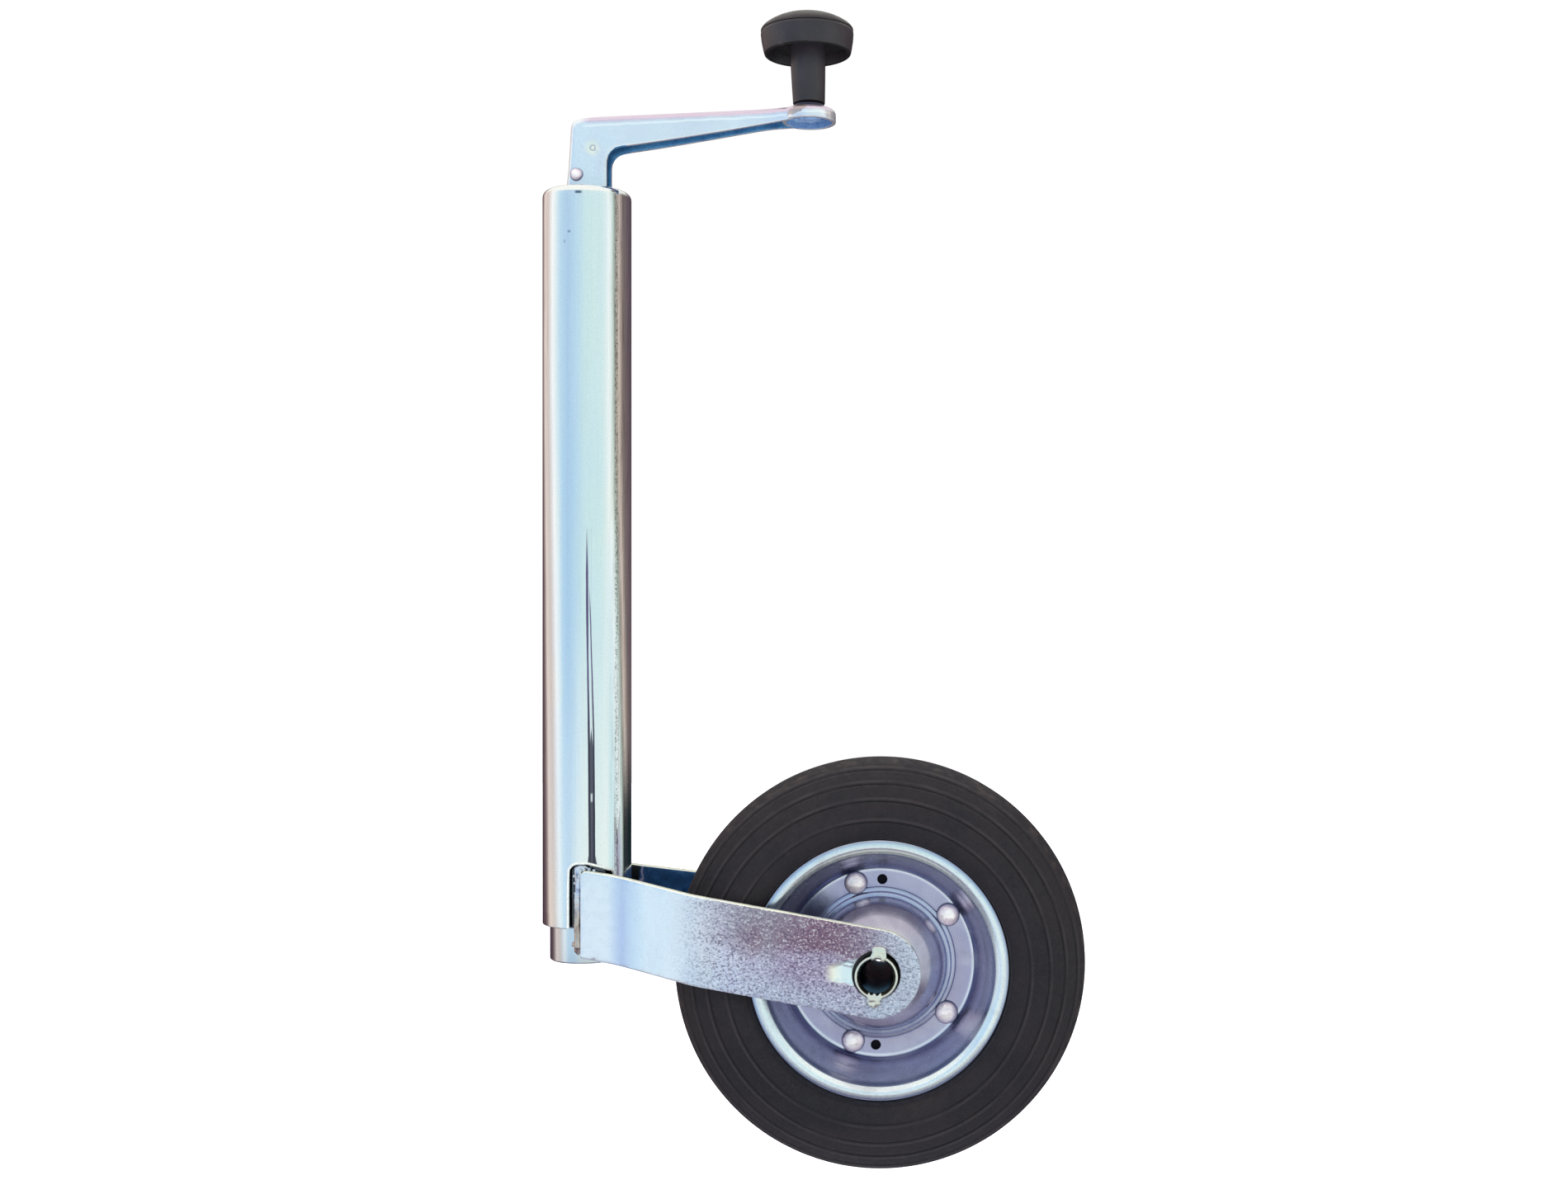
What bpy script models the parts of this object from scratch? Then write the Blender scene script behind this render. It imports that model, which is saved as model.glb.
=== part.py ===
"""Trailer tongue jack (jockey wheel): screw-raised inner tube with a fork and a solid rubber wheel.

Frame: the origin is on the outer tube's axis at half the tube's length.  +Z is up along the tube, +X points from the
tube towards the wheel, -Y is the near side.  All driving dimensions below are millimetres.
"""
import math

import bmesh
import bpy

MM = 0.001

# outer tube
OUTER_R, OUTER_BORE_R = 24.0, 21.0
TUBE_TOP, TUBE_BOTTOM = 200.0, -200.0
LIP_R, ROLL_R = 16.0, 5.0
NOTCH_LEFT, NOTCH_RIGHT, NOTCH_TOP = -5.2, 17.0, -165.4

# inner tube and fork
INNER_R, INNER_BORE_R = 20.0, 18.0
INNER_TOP, INNER_BOTTOM = 150.0, -219.5
LEG_THICK, LEG_END_R = 5.0, 23.6
LEG_LEFT, LEG_TOP_LEFT, LEG_BOTTOM_LEFT = 1.0, -168.0, -215.4
LEG_END_SHIFT, LEG_END_RISE = -1.0, 1.3
LEG_FACE_TUBE, LEG_FACE_WHEEL = 25.3, 41.0
LEG_BEND_START, LEG_BEND_END = 20.7, 63.0
LEG_HOLE_R, LEG_HOLE_RISE = 12.75, 1.0

# wheel
WHEEL_X, WHEEL_Z = 160.9, -221.8
AXLE_R, AXLE_BORE_R, AXLE_MOUTH_R, AXLE_HALF = 11.4, 8.2, 10.1, 43.0
STAKE_W, STAKE_R, STAKE_TILT = 6.5, 16.2, 5.0
HUB_R, HUB_BORE_R, HUB_HALF = 15.5, 13.5, 31.0
SHEET = 2.0
RIVET_CIRCLE_R = 45.4
RIVET_ANGLES = (107.0, 35.0, -37.0, -109.0, 179.0)
VENT_R, VENT_ANGLES = 2.8, {"near": (88.5, -93.0), "far": (125.5, -53.0)}
TYRE_R = 112.5

# screw
PITCH, THREAD_R, CORE_R = 6.0, 9.5, 6.9
THREAD_TOP, THREAD_BOTTOM = 176.0, -76.0
THREAD_SEGS = 10
HAND = -1  # left-hand, so clockwise from above lowers the wheel
RADIAL_PLAY, AXIAL_PLAY = 0.55, 0.3
TANG_R, TANG_TOP = 5.4, 225.6

# crank and knob
CRANK_HALF_W, CRANK_SHEET = 9.0, 2.5
EYE_X, EYE_R, EYE_TOP, EYE_BOTTOM = 121.8, 14.7, 245.6, 238.2
CRANK_PIN_X, CRANK_PIN_Z = -4.2, 208.2

for old in list(bpy.data.objects):
    bpy.data.objects.remove(old, do_unlink=True)

parts = bpy.data.collections.new("trailer_tongue_jack")
cutters = bpy.data.collections.new("cutters")
bpy.context.scene.collection.children.link(parts)
bpy.context.scene.collection.children.link(cutters)


def finish(name, colour, roughness, metallic):
    """A Principled finish for one piece."""
    mat = bpy.data.materials.new(name + "_finish")
    mat.use_nodes = True
    shader = mat.node_tree.nodes["Principled BSDF"]
    shader.inputs["Base Color"].default_value = (*colour, 1.0)
    shader.inputs["Roughness"].default_value = roughness
    shader.inputs["Metallic"].default_value = metallic
    return mat


ZINC = ((0.62, 0.72, 0.80), 0.28, 1.0)
ZINC_DULL = ((0.50, 0.55, 0.64), 0.38, 1.0)
STEEL = ((0.42, 0.42, 0.43), 0.35, 1.0)
RUBBER = ((0.030, 0.028, 0.032), 0.75, 0.0)
PLASTIC = ((0.055, 0.050, 0.062), 0.45, 0.0)
NYLON = ((0.72, 0.70, 0.64), 0.45, 0.0)


def place(ob, look, parent=None, loc=(0, 0, 0), rot=(0, 0, 0)):
    """Puts a piece in the object's collection, with its own finish, at loc (mm) under its parent."""
    for c in list(ob.users_collection):
        c.objects.unlink(ob)
    parts.objects.link(ob)
    ob.parent = parent
    ob.location = [v * MM for v in loc]
    ob.rotation_euler = rot
    ob.data.materials.clear()
    ob.data.materials.append(finish(ob.name, *look))
    return ob


def as_cutter(ob):
    for c in list(ob.users_collection):
        c.objects.unlink(ob)
    cutters.objects.link(ob)
    ob.hide_render = True
    ob.display_type = "WIRE"
    return ob


def boolean(ob, tool, operation):
    mod = ob.modifiers.new(operation.lower() + "_" + tool.name, "BOOLEAN")
    mod.operation = operation
    mod.object = tool
    mod.solver = "EXACT"
    return mod


def axis_empty(name, x, z):
    ob = bpy.data.objects.new(name, None)
    ob.location = (x * MM, 0, z * MM)
    parts.objects.link(ob)
    return ob


def turned(name, profile, steps, closed):
    """A turned piece: the (radius, height) profile runs down its outer side and is screwed once round Z."""
    mesh = bpy.data.meshes.new(name)
    n = len(profile)
    edges = [(i, i + 1) for i in range(n - 1)] + ([(n - 1, 0)] if closed else [])
    mesh.from_pydata([(r * MM, 0, z * MM) for r, z in profile], edges, [])
    ob = bpy.data.objects.new(name, mesh)
    bpy.context.scene.collection.objects.link(ob)
    mod = ob.modifiers.new("turn", "SCREW")
    mod.axis = "Z"
    mod.angle = 2 * math.pi
    mod.steps = mod.render_steps = steps
    mod.use_merge_vertices = True
    mod.merge_threshold = 0.00001
    mod.use_smooth_shade = True
    return ob


def ring(name, r_in, r_out, z_low, z_high, steps):
    return turned(name, [(r_in, z_high), (r_out, z_high), (r_out, z_low), (r_in, z_low)], steps, True)


def arc(cx, cz, r, a0, a1, n):
    """Points on an arc from a0 to a1 degrees, both ends included."""
    return [
        (cx + r * math.cos(math.radians(a0 + (a1 - a0) * i / n)), cz + r * math.sin(math.radians(a0 + (a1 - a0) * i / n)))
        for i in range(n + 1)
    ]


def sheet_section(path, thick):
    """Closed section of a pressed sheet: the path is its visible face, and the back is offset to the right of it."""
    back = []
    for i, (r, z) in enumerate(path):
        normals = []
        for a, b in ((i - 1, i), (i, i + 1)):
            if 0 <= a and b < len(path):
                dr, dz = path[b][0] - path[a][0], path[b][1] - path[a][1]
                size = math.hypot(dr, dz)
                normals.append((dz / size, -dr / size))
        nr, nz = sum(n[0] for n in normals), sum(n[1] for n in normals)
        if len(normals) == 2:
            k = thick / (1 + normals[0][0] * normals[1][0] + normals[0][1] * normals[1][1])
        else:
            k = thick
        back.append((r + nr * k, z + nz * k))
    return path + back[::-1]


def cylinder(name, r, z_low, z_high, loc=(0, 0, 0), along="Z", sides=32):
    """A cylinder between two heights, or between two depths when it lies along Y."""
    mid, depth = (z_low + z_high) / 2, z_high - z_low
    spot = (loc[0], loc[1], loc[2] + mid) if along == "Z" else (loc[0], loc[1] + mid, loc[2])
    bpy.ops.mesh.primitive_cylinder_add(
        vertices=sides,
        radius=r * MM,
        depth=depth * MM,
        location=[v * MM for v in spot],
        rotation=(0, 0, 0) if along == "Z" else (math.pi / 2, 0, 0),
    )
    ob = bpy.context.active_object
    ob.name = name
    return ob


def block(name, low, high):
    bpy.ops.mesh.primitive_cube_add(size=1, location=[(a + b) / 2 * MM for a, b in zip(low, high)])
    ob = bpy.context.active_object
    ob.name = name
    for v in ob.data.vertices:
        v.co = [c * (b - a) * MM for c, a, b in zip(v.co, low, high)]
    return ob


def meshed(curve_ob):
    """The mesh of a curve object, with its caps welded on and its faces outward."""
    name, matrix = curve_ob.name, curve_ob.matrix_world.copy()
    mesh = bpy.data.meshes.new_from_object(curve_ob.evaluated_get(bpy.context.evaluated_depsgraph_get()))
    work = bmesh.new()
    work.from_mesh(mesh)
    bmesh.ops.remove_doubles(work, verts=work.verts, dist=0.000001)
    bmesh.ops.recalc_face_normals(work, faces=work.faces)
    work.to_mesh(mesh)
    work.free()
    bpy.data.objects.remove(curve_ob, do_unlink=True)
    ob = bpy.data.objects.new(name, mesh)
    bpy.context.scene.collection.objects.link(ob)
    ob.matrix_world = matrix
    return ob


def flat(name, outline, low, high, plane):
    """A flat outline, in the XZ or the XY plane, made solid between two depths across that plane."""
    curve = bpy.data.curves.new(name, "CURVE")
    curve.dimensions = "2D"
    curve.fill_mode = "BOTH"
    curve.extrude = (high - low) / 2 * MM
    spline = curve.splines.new("POLY")
    spline.points.add(len(outline) - 1)
    for point, (a, b) in zip(spline.points, outline):
        point.co = (a * MM, b * MM, 0, 1)
    spline.use_cyclic_u = True
    ob = bpy.data.objects.new(name, curve)
    bpy.context.scene.collection.objects.link(ob)
    mid = (low + high) / 2 * MM
    if plane == "XZ":
        ob.rotation_euler = (math.pi / 2, 0, 0)
        ob.location = (0, mid, 0)
    else:
        ob.location = (0, 0, mid)
    bpy.context.view_layer.update()
    return meshed(ob)


def helical(name, core, crest, points, z_start, turns):
    """A closed threaded bar: one thread section carried round the axis, with a fan closing each end."""
    mesh = bpy.data.meshes.new(name)
    work = bmesh.new()
    radii = (core, core, crest, crest)
    steps = THREAD_SEGS * turns
    grid = []
    for k in range(steps + 1):
        angle = HAND * 2 * math.pi * k / THREAD_SEGS
        rise = z_start + PITCH * k / THREAD_SEGS
        grid.append(
            [
                work.verts.new((r * MM * math.cos(angle), r * MM * math.sin(angle), (rise + p) * MM))
                for r, p in zip(radii, points)
            ]
        )
    for k in range(steps):
        for i in range(3):
            work.faces.new((grid[k][i], grid[k + 1][i], grid[k + 1][i + 1], grid[k][i + 1]))
        if k + THREAD_SEGS + 1 <= steps:
            up = k + THREAD_SEGS
            work.faces.new((grid[k][3], grid[k + 1][3], grid[up + 1][0], grid[up][0]))
    foot = work.verts.new((0, 0, (z_start + PITCH / 2) * MM))
    head = work.verts.new((0, 0, (z_start + PITCH * (turns + 0.5)) * MM))
    first = [grid[k][0] for k in range(THREAD_SEGS + 1)] + [grid[0][i] for i in (3, 2, 1)]
    last = [grid[steps - THREAD_SEGS + k][3] for k in range(THREAD_SEGS + 1)] + [grid[steps][i] for i in (2, 1, 0)]
    for hub, loop in ((foot, first), (head, last)):
        for a, b in zip(loop, loop[1:] + loop[:1]):
            work.faces.new((hub, a, b))
    bmesh.ops.recalc_face_normals(work, faces=work.faces)
    work.to_mesh(mesh)
    work.free()
    ob = bpy.data.objects.new(name, mesh)
    bpy.context.scene.collection.objects.link(ob)
    return ob


NEAR = (math.pi / 2, 0, 0)  # local +Z points to the near side, local angles read X towards Z
FAR = (-math.pi / 2, 0, 0)

wheel_axis = axis_empty("wheel_axis", WHEEL_X, WHEEL_Z)
knob_axis = axis_empty("knob_axis", EYE_X, 0)

# ---------------------------------------------------------------- outer tube
roll = arc(OUTER_R - ROLL_R, TUBE_TOP - ROLL_R, ROLL_R, 90, 0, 4)
roll_in = arc(OUTER_R - ROLL_R, TUBE_TOP - ROLL_R, ROLL_R - 3, 0, 90, 3)
outer_tube = turned(
    "outer_tube",
    [(LIP_R, TUBE_TOP)] + roll + [(OUTER_R, TUBE_BOTTOM), (OUTER_BORE_R, TUBE_BOTTOM)] + roll_in + [(LIP_R, TUBE_TOP - 3)],
    40,
    True,
)
notch = flat(
    "notch_cutter",
    [(NOTCH_LEFT, -206), (NOTCH_LEFT, NOTCH_TOP - 8)]
    + arc(NOTCH_LEFT + 6.5, NOTCH_TOP - 7.1, 6.5, 180, 100, 4)
    + [(4.5, NOTCH_TOP), (12.5, -167.9), (NOTCH_RIGHT - 1.2, -170), (NOTCH_RIGHT, -172.4), (NOTCH_RIGHT, -206)],
    -30,
    30,
    "XZ",
)
boolean(outer_tube, as_cutter(notch), "DIFFERENCE")
place(outer_tube, ZINC)

# ---------------------------------------------------------------- head of the outer tube: end plate and thrust bearing
place(turned("end_plate", [(9.3, 196.7), (17.6, 196.7), (20.6, 193.4), (20.6, 190.0), (9.3, 190.0)], 32, True), STEEL)
place(ring("thrust_race_upper", 9.6, 19.4, 187.9, 189.7, 32), STEEL)
place(ring("thrust_race_lower", 9.6, 19.4, 182.8, 184.6, 32), STEEL)
cage = ring("thrust_ball_cage", 11.6, 18.0, 185.6, 186.9, 24)
balls = bpy.data.meshes.new("bearing_balls")
work = bmesh.new()
for i in range(9):
    made = bmesh.ops.create_uvsphere(work, u_segments=8, v_segments=4, radius=1.35 * MM)
    turn = 2 * math.pi * (i + 0.5) / 9
    bmesh.ops.translate(work, verts=made["verts"], vec=(14.8 * MM * math.cos(turn), 14.8 * MM * math.sin(turn), 186.25 * MM))
work.to_mesh(balls)
work.free()
balls = bpy.data.objects.new("bearing_balls", balls)
bpy.context.scene.collection.objects.link(balls)
boolean(cage, as_cutter(balls), "UNION")
place(cage, STEEL)

# ---------------------------------------------------------------- spindle
FLANK = (THREAD_R - CORE_R) * math.tan(math.radians(15))
LAND = (PITCH - 2 * FLANK) / 2
THREAD_POINTS = (0.0, LAND, LAND + FLANK, 2 * LAND + FLANK)
NUT_POINTS = (AXIAL_PLAY, LAND - AXIAL_PLAY, LAND + FLANK - AXIAL_PLAY, 2 * LAND + FLANK + AXIAL_PLAY)
THREAD_START = THREAD_BOTTOM - 2 * PITCH
spindle = helical("spindle", CORE_R, THREAD_R, THREAD_POINTS, THREAD_START, 46)
boolean(spindle, as_cutter(cylinder("thread_span", 12.5, THREAD_BOTTOM, THREAD_TOP, sides=24)), "INTERSECT")
upper_shank = turned(
    "upper_shank",
    [
        (0, TANG_TOP),
        (TANG_R - 1.0, TANG_TOP),
        (TANG_R, TANG_TOP - 1.0),
        (TANG_R, 201.3),
        (8.9, 201.3),
        (8.9, 182.5),
        (14.0, 182.5),
        (14.0, 177.6),
        (6.4, 177.6),
        (6.4, 168.0),
        (0, 168.0),
    ],
    24,
    False,
)
boolean(spindle, as_cutter(upper_shank), "UNION")
lower_shank = turned("lower_shank", [(0, -68), (6.4, -68), (6.4, -91), (5.4, -92), (0, -92)], 24, False)
boolean(spindle, as_cutter(lower_shank), "UNION")
boolean(spindle, as_cutter(cylinder("cotter_groove", 2.7, -12, 12, (CRANK_PIN_X, 0, CRANK_PIN_Z), "Y", 16)), "DIFFERENCE")
boolean(spindle, as_cutter(cylinder("stop_pin_hole", 1.9, -12, 12, (0, 0, -86.5), "Y", 12)), "DIFFERENCE")
place(spindle, STEEL)
place(ring("spindle_stop_washer", 6.9, 13.5, -83.2, -80.7, 24), STEEL)
place(cylinder("spindle_stop_pin", 1.6, -9.5, 9.5, (0, 0, 0), "Y", 12), STEEL, None, (0, 0, -86.5), NEAR)

# ---------------------------------------------------------------- nut, guide ring and inner tube
nut = turned(
    "spindle_nut",
    [
        (0, 166.0),
        (19.0, 166.0),
        (19.0, 163.0),
        (17.0, 163.0),
        (17.0, 153.0),
        (19.9, 153.0),
        (19.9, 150.3),
        (17.6, 150.3),
        (17.6, 131.0),
        (16.6, 130.0),
        (0, 130.0),
    ],
    32,
    False,
)
nut_thread = helical("nut_thread", CORE_R + RADIAL_PLAY, THREAD_R + RADIAL_PLAY, NUT_POINTS, THREAD_START + 34 * PITCH, 10)
boolean(nut, as_cutter(nut_thread), "DIFFERENCE")
place(nut, STEEL)
guide = ring("guide_ring", 17.35, 20.65, 153.3, 162.7, 40)
boolean(guide, as_cutter(block("ring_split", (-24, -1.2, 150), (-14, 1.2, 166))), "DIFFERENCE")
place(guide, NYLON)
place(ring("inner_tube", INNER_BORE_R, INNER_R, INNER_BOTTOM, INNER_TOP, 40), ZINC)

# ---------------------------------------------------------------- fork legs and their welds
LEG_END = (WHEEL_X + LEG_END_SHIFT, WHEEL_Z + LEG_END_RISE)
SLOPE = math.atan2((LEG_TOP_LEFT + LEG_BOTTOM_LEFT) / 2 - LEG_END[1], LEG_END[0] - LEG_LEFT)
LEG_BEND = math.atan2(LEG_FACE_WHEEL - LEG_FACE_TUBE, LEG_BEND_END - LEG_BEND_START)
MITRE = LEG_THICK * math.tan(LEG_BEND / 2)
side_outline = (
    [(LEG_LEFT, LEG_BOTTOM_LEFT), (LEG_LEFT, LEG_TOP_LEFT)]
    + arc(*LEG_END, LEG_END_R, 90 - math.degrees(SLOPE), -90 - math.degrees(SLOPE), 18)
)
for side, sign in (("near", -1), ("far", 1)):
    plan = [
        (-1, LEG_FACE_TUBE),
        (LEG_BEND_START - 2, LEG_FACE_TUBE),
        (LEG_BEND_START + 2, LEG_FACE_TUBE + 0.75),
        (LEG_BEND_END - 2, LEG_FACE_WHEEL - 0.75),
        (LEG_BEND_END + 2, LEG_FACE_WHEEL),
        (190, LEG_FACE_WHEEL),
        (190, LEG_FACE_WHEEL - LEG_THICK),
        (LEG_BEND_END + MITRE + 2, LEG_FACE_WHEEL - LEG_THICK),
        (LEG_BEND_END + MITRE - 2, LEG_FACE_WHEEL - LEG_THICK - 0.75),
        (LEG_BEND_START + MITRE + 2, LEG_FACE_TUBE - LEG_THICK + 0.75),
        (LEG_BEND_START + MITRE - 2, LEG_FACE_TUBE - LEG_THICK),
        (-1, LEG_FACE_TUBE - LEG_THICK),
    ]
    leg = flat("fork_leg_" + side, side_outline, min(15 * sign, 46 * sign), max(15 * sign, 46 * sign), "XZ")
    strip = flat("leg_plan_" + side, [(x, y * sign) for x, y in plan], -260, -150, "XY")
    boolean(leg, as_cutter(strip), "INTERSECT")
    hole = cylinder("leg_hole_" + side, LEG_HOLE_R, 30, 50, (WHEEL_X, 0, WHEEL_Z + LEG_HOLE_RISE), "Y", 32)
    hole.location.y *= sign
    boolean(leg, as_cutter(hole), "DIFFERENCE")
    keep = leg.matrix_world.copy()
    place(leg, ZINC)
    leg.matrix_world = keep

    bead = bpy.data.curves.new("weld_" + side, "CURVE")
    bead.dimensions = "3D"
    bead.bevel_depth = 2.0 * MM
    bead.bevel_resolution = 2
    bead.use_fill_caps = True
    spline = bead.splines.new("POLY")
    count = 13
    spline.points.add(count - 1)
    for i, point in enumerate(spline.points):
        t = i / (count - 1)
        z = LEG_TOP_LEFT - 2.5 - t * (LEG_TOP_LEFT - LEG_BOTTOM_LEFT - 5.0)
        point.co = ((-1.5 + 0.12 * math.sin(5.1 * i)) * MM, sign * (22.75 + 0.15 * math.sin(3.3 * i + 1)) * MM, z * MM, 1)
        point.radius = 0.92 + 0.08 * math.sin(2.4 * i)
    bead_ob = bpy.data.objects.new("weld_" + side, bead)
    bpy.context.scene.collection.objects.link(bead_ob)
    bpy.context.view_layer.update()
    place(meshed(bead_ob), ZINC_DULL)

# ---------------------------------------------------------------- axle and its spacers
axle = cylinder("axle_tube", AXLE_R, -AXLE_HALF, AXLE_HALF, (0, 0, 0), "Z", 32)
for side, sign in (("near", 1), ("far", -1)):
    low, high = sorted((sign * (LEG_FACE_WHEEL + 0.3), sign * (AXLE_HALF - 0.05)))
    stake = block("stake_" + side, (-STAKE_W / 2, -STAKE_R, low), (STAKE_W / 2, STAKE_R, high))
    boolean(axle, as_cutter(stake), "UNION")
    stake.parent = wheel_axis
    stake.rotation_euler = (math.pi / 2, math.radians(STAKE_TILT), 0)
    stake.location = (0, -(low + high) / 2 * MM, 0)
bore = turned(
    "axle_bore",
    [
        (0, 50),
        (AXLE_MOUTH_R, 50),
        (AXLE_MOUTH_R, AXLE_HALF - 1.5),
        (AXLE_BORE_R, AXLE_HALF - 4.5),
        (AXLE_BORE_R, 4.5 - AXLE_HALF),
        (AXLE_MOUTH_R, 1.5 - AXLE_HALF),
        (AXLE_MOUTH_R, -50),
        (0, -50),
    ],
    32,
    False,
)
bore.parent = wheel_axis
bore.rotation_euler = NEAR
boolean(axle, as_cutter(bore), "DIFFERENCE")
place(axle, ZINC, wheel_axis, (0, 0, 0), NEAR)
for side, turn in (("near", NEAR), ("far", FAR)):
    place(ring("spacer_washer_" + side, 11.95, 17.0, 33.3, 35.7, 32), ZINC_DULL, wheel_axis, (0, 0, 0), turn)

# ---------------------------------------------------------------- hub, rim halves and their rivets
place(ring("hub_tube", HUB_BORE_R, HUB_R, -HUB_HALF, HUB_HALF, 28), ZINC_DULL, wheel_axis, (0, 0, 0), NEAR)
for side, turn in (("near", NEAR), ("far", FAR)):
    bush = turned(
        "hub_bush_" + side, [(11.85, 33.0), (15.2, 33.0), (15.2, 31.3), (13.2, 31.3), (13.2, 16.0), (11.85, 16.0)], 28, True
    )
    place(bush, PLASTIC, wheel_axis, (0, 0, 0), turn)

RIM_PATH = [
    (17.9, 30.6),
    (17.9, 25.0),
    (20.6, 22.2),
    (27.5, 18.0),
    (33.4, 12.4),
    (36.7, 5.4),
    (38.5, 2.6),
    (41.2, 2.2),
    (52.2, 2.2),
    (54.6, 6.6),
    (62.2, 21.6),
    (64.0, 23.8),
    (66.6, 25.9),
    (69.5, 26.3),
]
rivet_hole = [(3.4, a) for a in RIVET_ANGLES]
for side, turn, flip in (("near", NEAR, 1), ("far", FAR, -1)):
    rim = turned("rim_half_" + side, sheet_section(RIM_PATH, SHEET), 32, True)
    drill = bpy.data.meshes.new("rim_drill_" + side)
    work = bmesh.new()
    # the two pressings are alike: turned over, their small vents land away from each other
    vent_hole = [(VENT_R, a) for a in VENT_ANGLES[side]]
    for r, a in rivet_hole + vent_hole:
        made = bmesh.ops.create_cone(
            work, cap_ends=True, segments=10, radius1=r * MM, radius2=r * MM, depth=12 * MM
        )
        angle = math.radians(a * flip)
        spot = (RIVET_CIRCLE_R * MM * math.cos(angle), RIVET_CIRCLE_R * MM * math.sin(angle), 0)
        bmesh.ops.translate(work, verts=made["verts"], vec=spot)
    work.to_mesh(drill)
    work.free()
    drill = bpy.data.objects.new("rim_drill_" + side, drill)
    bpy.context.scene.collection.objects.link(drill)
    drill.parent = wheel_axis
    drill.rotation_euler = turn
    boolean(rim, as_cutter(drill), "DIFFERENCE")
    place(rim, ZINC, wheel_axis, (0, 0, 0), turn)

head = [(6.4 * math.sin(math.radians(a)), 3.0 + 3.2 * math.cos(math.radians(a))) for a in (0, 35, 65, 90)]
rivet_profile = head + [(3.05, 3.0), (3.05, -3.0)] + [(r, -z) for r, z in head[::-1]]
for i, a in enumerate(RIVET_ANGLES):
    spot = (RIVET_CIRCLE_R * math.cos(math.radians(a)), 0, RIVET_CIRCLE_R * math.sin(math.radians(a)))
    place(turned("rim_rivet_%d" % (i + 1), rivet_profile, 12, False), ZINC, wheel_axis, spot, NEAR)

# ---------------------------------------------------------------- tyre
tread = [
    (70.7, 28.6),
    (73.0, 31.8),
    (80.4, 33.6),
    (91.0, 29.6),
    (99.6, 24.2),
    (106.4, 17.4),
    (110.8, 9.6),
]
seat = [(55.9, 3.0), (64.9, 20.3), (67.0, 22.4), (70.6, 23.4)]
tyre = turned(
    "tyre",
    tread + [(TYRE_R, 0)] + [(r, -z) for r, z in tread[::-1]] + [(r, -z) for r, z in seat[::-1]] + seat,
    40,
    True,
)
place(tyre, RUBBER, wheel_axis, (0, 0, 0), NEAR)

# ---------------------------------------------------------------- crank
crank_outline = [
    (-10.2, 201.7),
    (-9.0, 214.0),
    (-8.4, 223.0),
    (-7.9, 232.0),
    (-7.7, 235.0),
    (-7.0, 236.7),
    (-5.0, 237.7),
    (-0.7, 239.2),
    (2.5, 239.7),
    (12.0, 240.1),
    (30.0, 241.0),
    (60.0, 242.6),
    (114.2, 245.3),
    (112.9, 238.5),
    (42.4, 226.6),
    (31.4, 224.8),
    (20.5, 223.4),
    (16.2, 221.9),
    (13.6, 219.4),
    (12.3, 216.4),
    (12.2, 201.7),
]
hollow = [
    (-7.6, 198.0),
    (-6.5, 214.0),
    (-5.9, 223.0),
    (-5.4, 231.5),
    (-4.6, 234.2),
    (-2.2, 236.0),
    (2.6, 237.2),
    (12.0, 237.6),
    (30.0, 238.5),
    (60.0, 240.1),
    (112.0, 242.7),
    (112.0, 232.0),
    (40.0, 218.0),
    (20.0, 212.0),
    (20.0, 198.0),
]
crank = flat("crank_arm", crank_outline, -CRANK_HALF_W, CRANK_HALF_W, "XZ")
boolean(crank, as_cutter(cylinder("crank_eye", EYE_R, EYE_BOTTOM, EYE_TOP, (EYE_X, 0, 0), sides=32)), "UNION")
boolean(crank, as_cutter(flat("crank_hollow", hollow, CRANK_SHEET - CRANK_HALF_W, CRANK_HALF_W - CRANK_SHEET, "XZ")), "DIFFERENCE")
boolean(crank, as_cutter(cylinder("eye_cup", EYE_R - CRANK_SHEET, 230, EYE_TOP - 2.7, (EYE_X, 0, 0), sides=32)), "DIFFERENCE")
boolean(crank, as_cutter(cylinder("eye_hole", 4.5, 230, 255, (EYE_X, 0, 0), sides=20)), "DIFFERENCE")
boolean(crank, as_cutter(cylinder("cotter_hole", 2.75, -15, 15, (CRANK_PIN_X, 0, CRANK_PIN_Z), "Y", 16)), "DIFFERENCE")
keep = crank.matrix_world.copy()
place(crank, ZINC)
crank.matrix_world = keep
dome = [(3.5 * math.sin(math.radians(a)), 9.3 + 1.9 * math.cos(math.radians(a))) for a in (0, 30, 60, 90)]
place(
    turned("crank_rivet", dome + [(2.4, 9.3), (2.4, -9.3)] + [(r, -z) for r, z in dome[::-1]], 16, False),
    ZINC,
    None,
    (CRANK_PIN_X, 0, CRANK_PIN_Z),
    NEAR,
)

# ---------------------------------------------------------------- knob
place(
    turned(
        "knob_pin",
        [
            (0, 286.6),
            (6.0, 286.6),
            (6.6, 286.0),
            (6.6, 284.0),
            (4.1, 284.0),
            (4.1, 242.3),
            (6.8, 242.3),
            (6.8, 240.6),
            (5.4, 239.5),
            (0, 239.1),
        ],
        20,
        False,
    ),
    ZINC,
    knob_axis,
)
place(ring("knob_washer", 4.5, 8.5, EYE_TOP + 0.3, 248.0, 24), PLASTIC, knob_axis)
place(
    turned(
        "knob_body",
        [
            (7.6, 288.2),
            (25.1, 288.2),
            (25.6, 287.2),
            (24.8, 281.0),
            (23.6, 275.9),
            (22.7, 275.3),
            (21.5, 275.9),
            (20.8, 280.6),
            (19.8, 281.6),
            (10.6, 281.6),
            (9.7, 280.6),
            (9.6, 270.0),
            (8.75, 248.3),
            (4.5, 248.3),
            (4.5, 283.6),
            (7.6, 283.6),
        ],
        32,
        True,
    ),
    PLASTIC,
    knob_axis,
)
crown = [(0, 298.0), (8.0, 297.5), (15.5, 295.7), (21.6, 292.6), (25.5, 289.0)]
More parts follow.
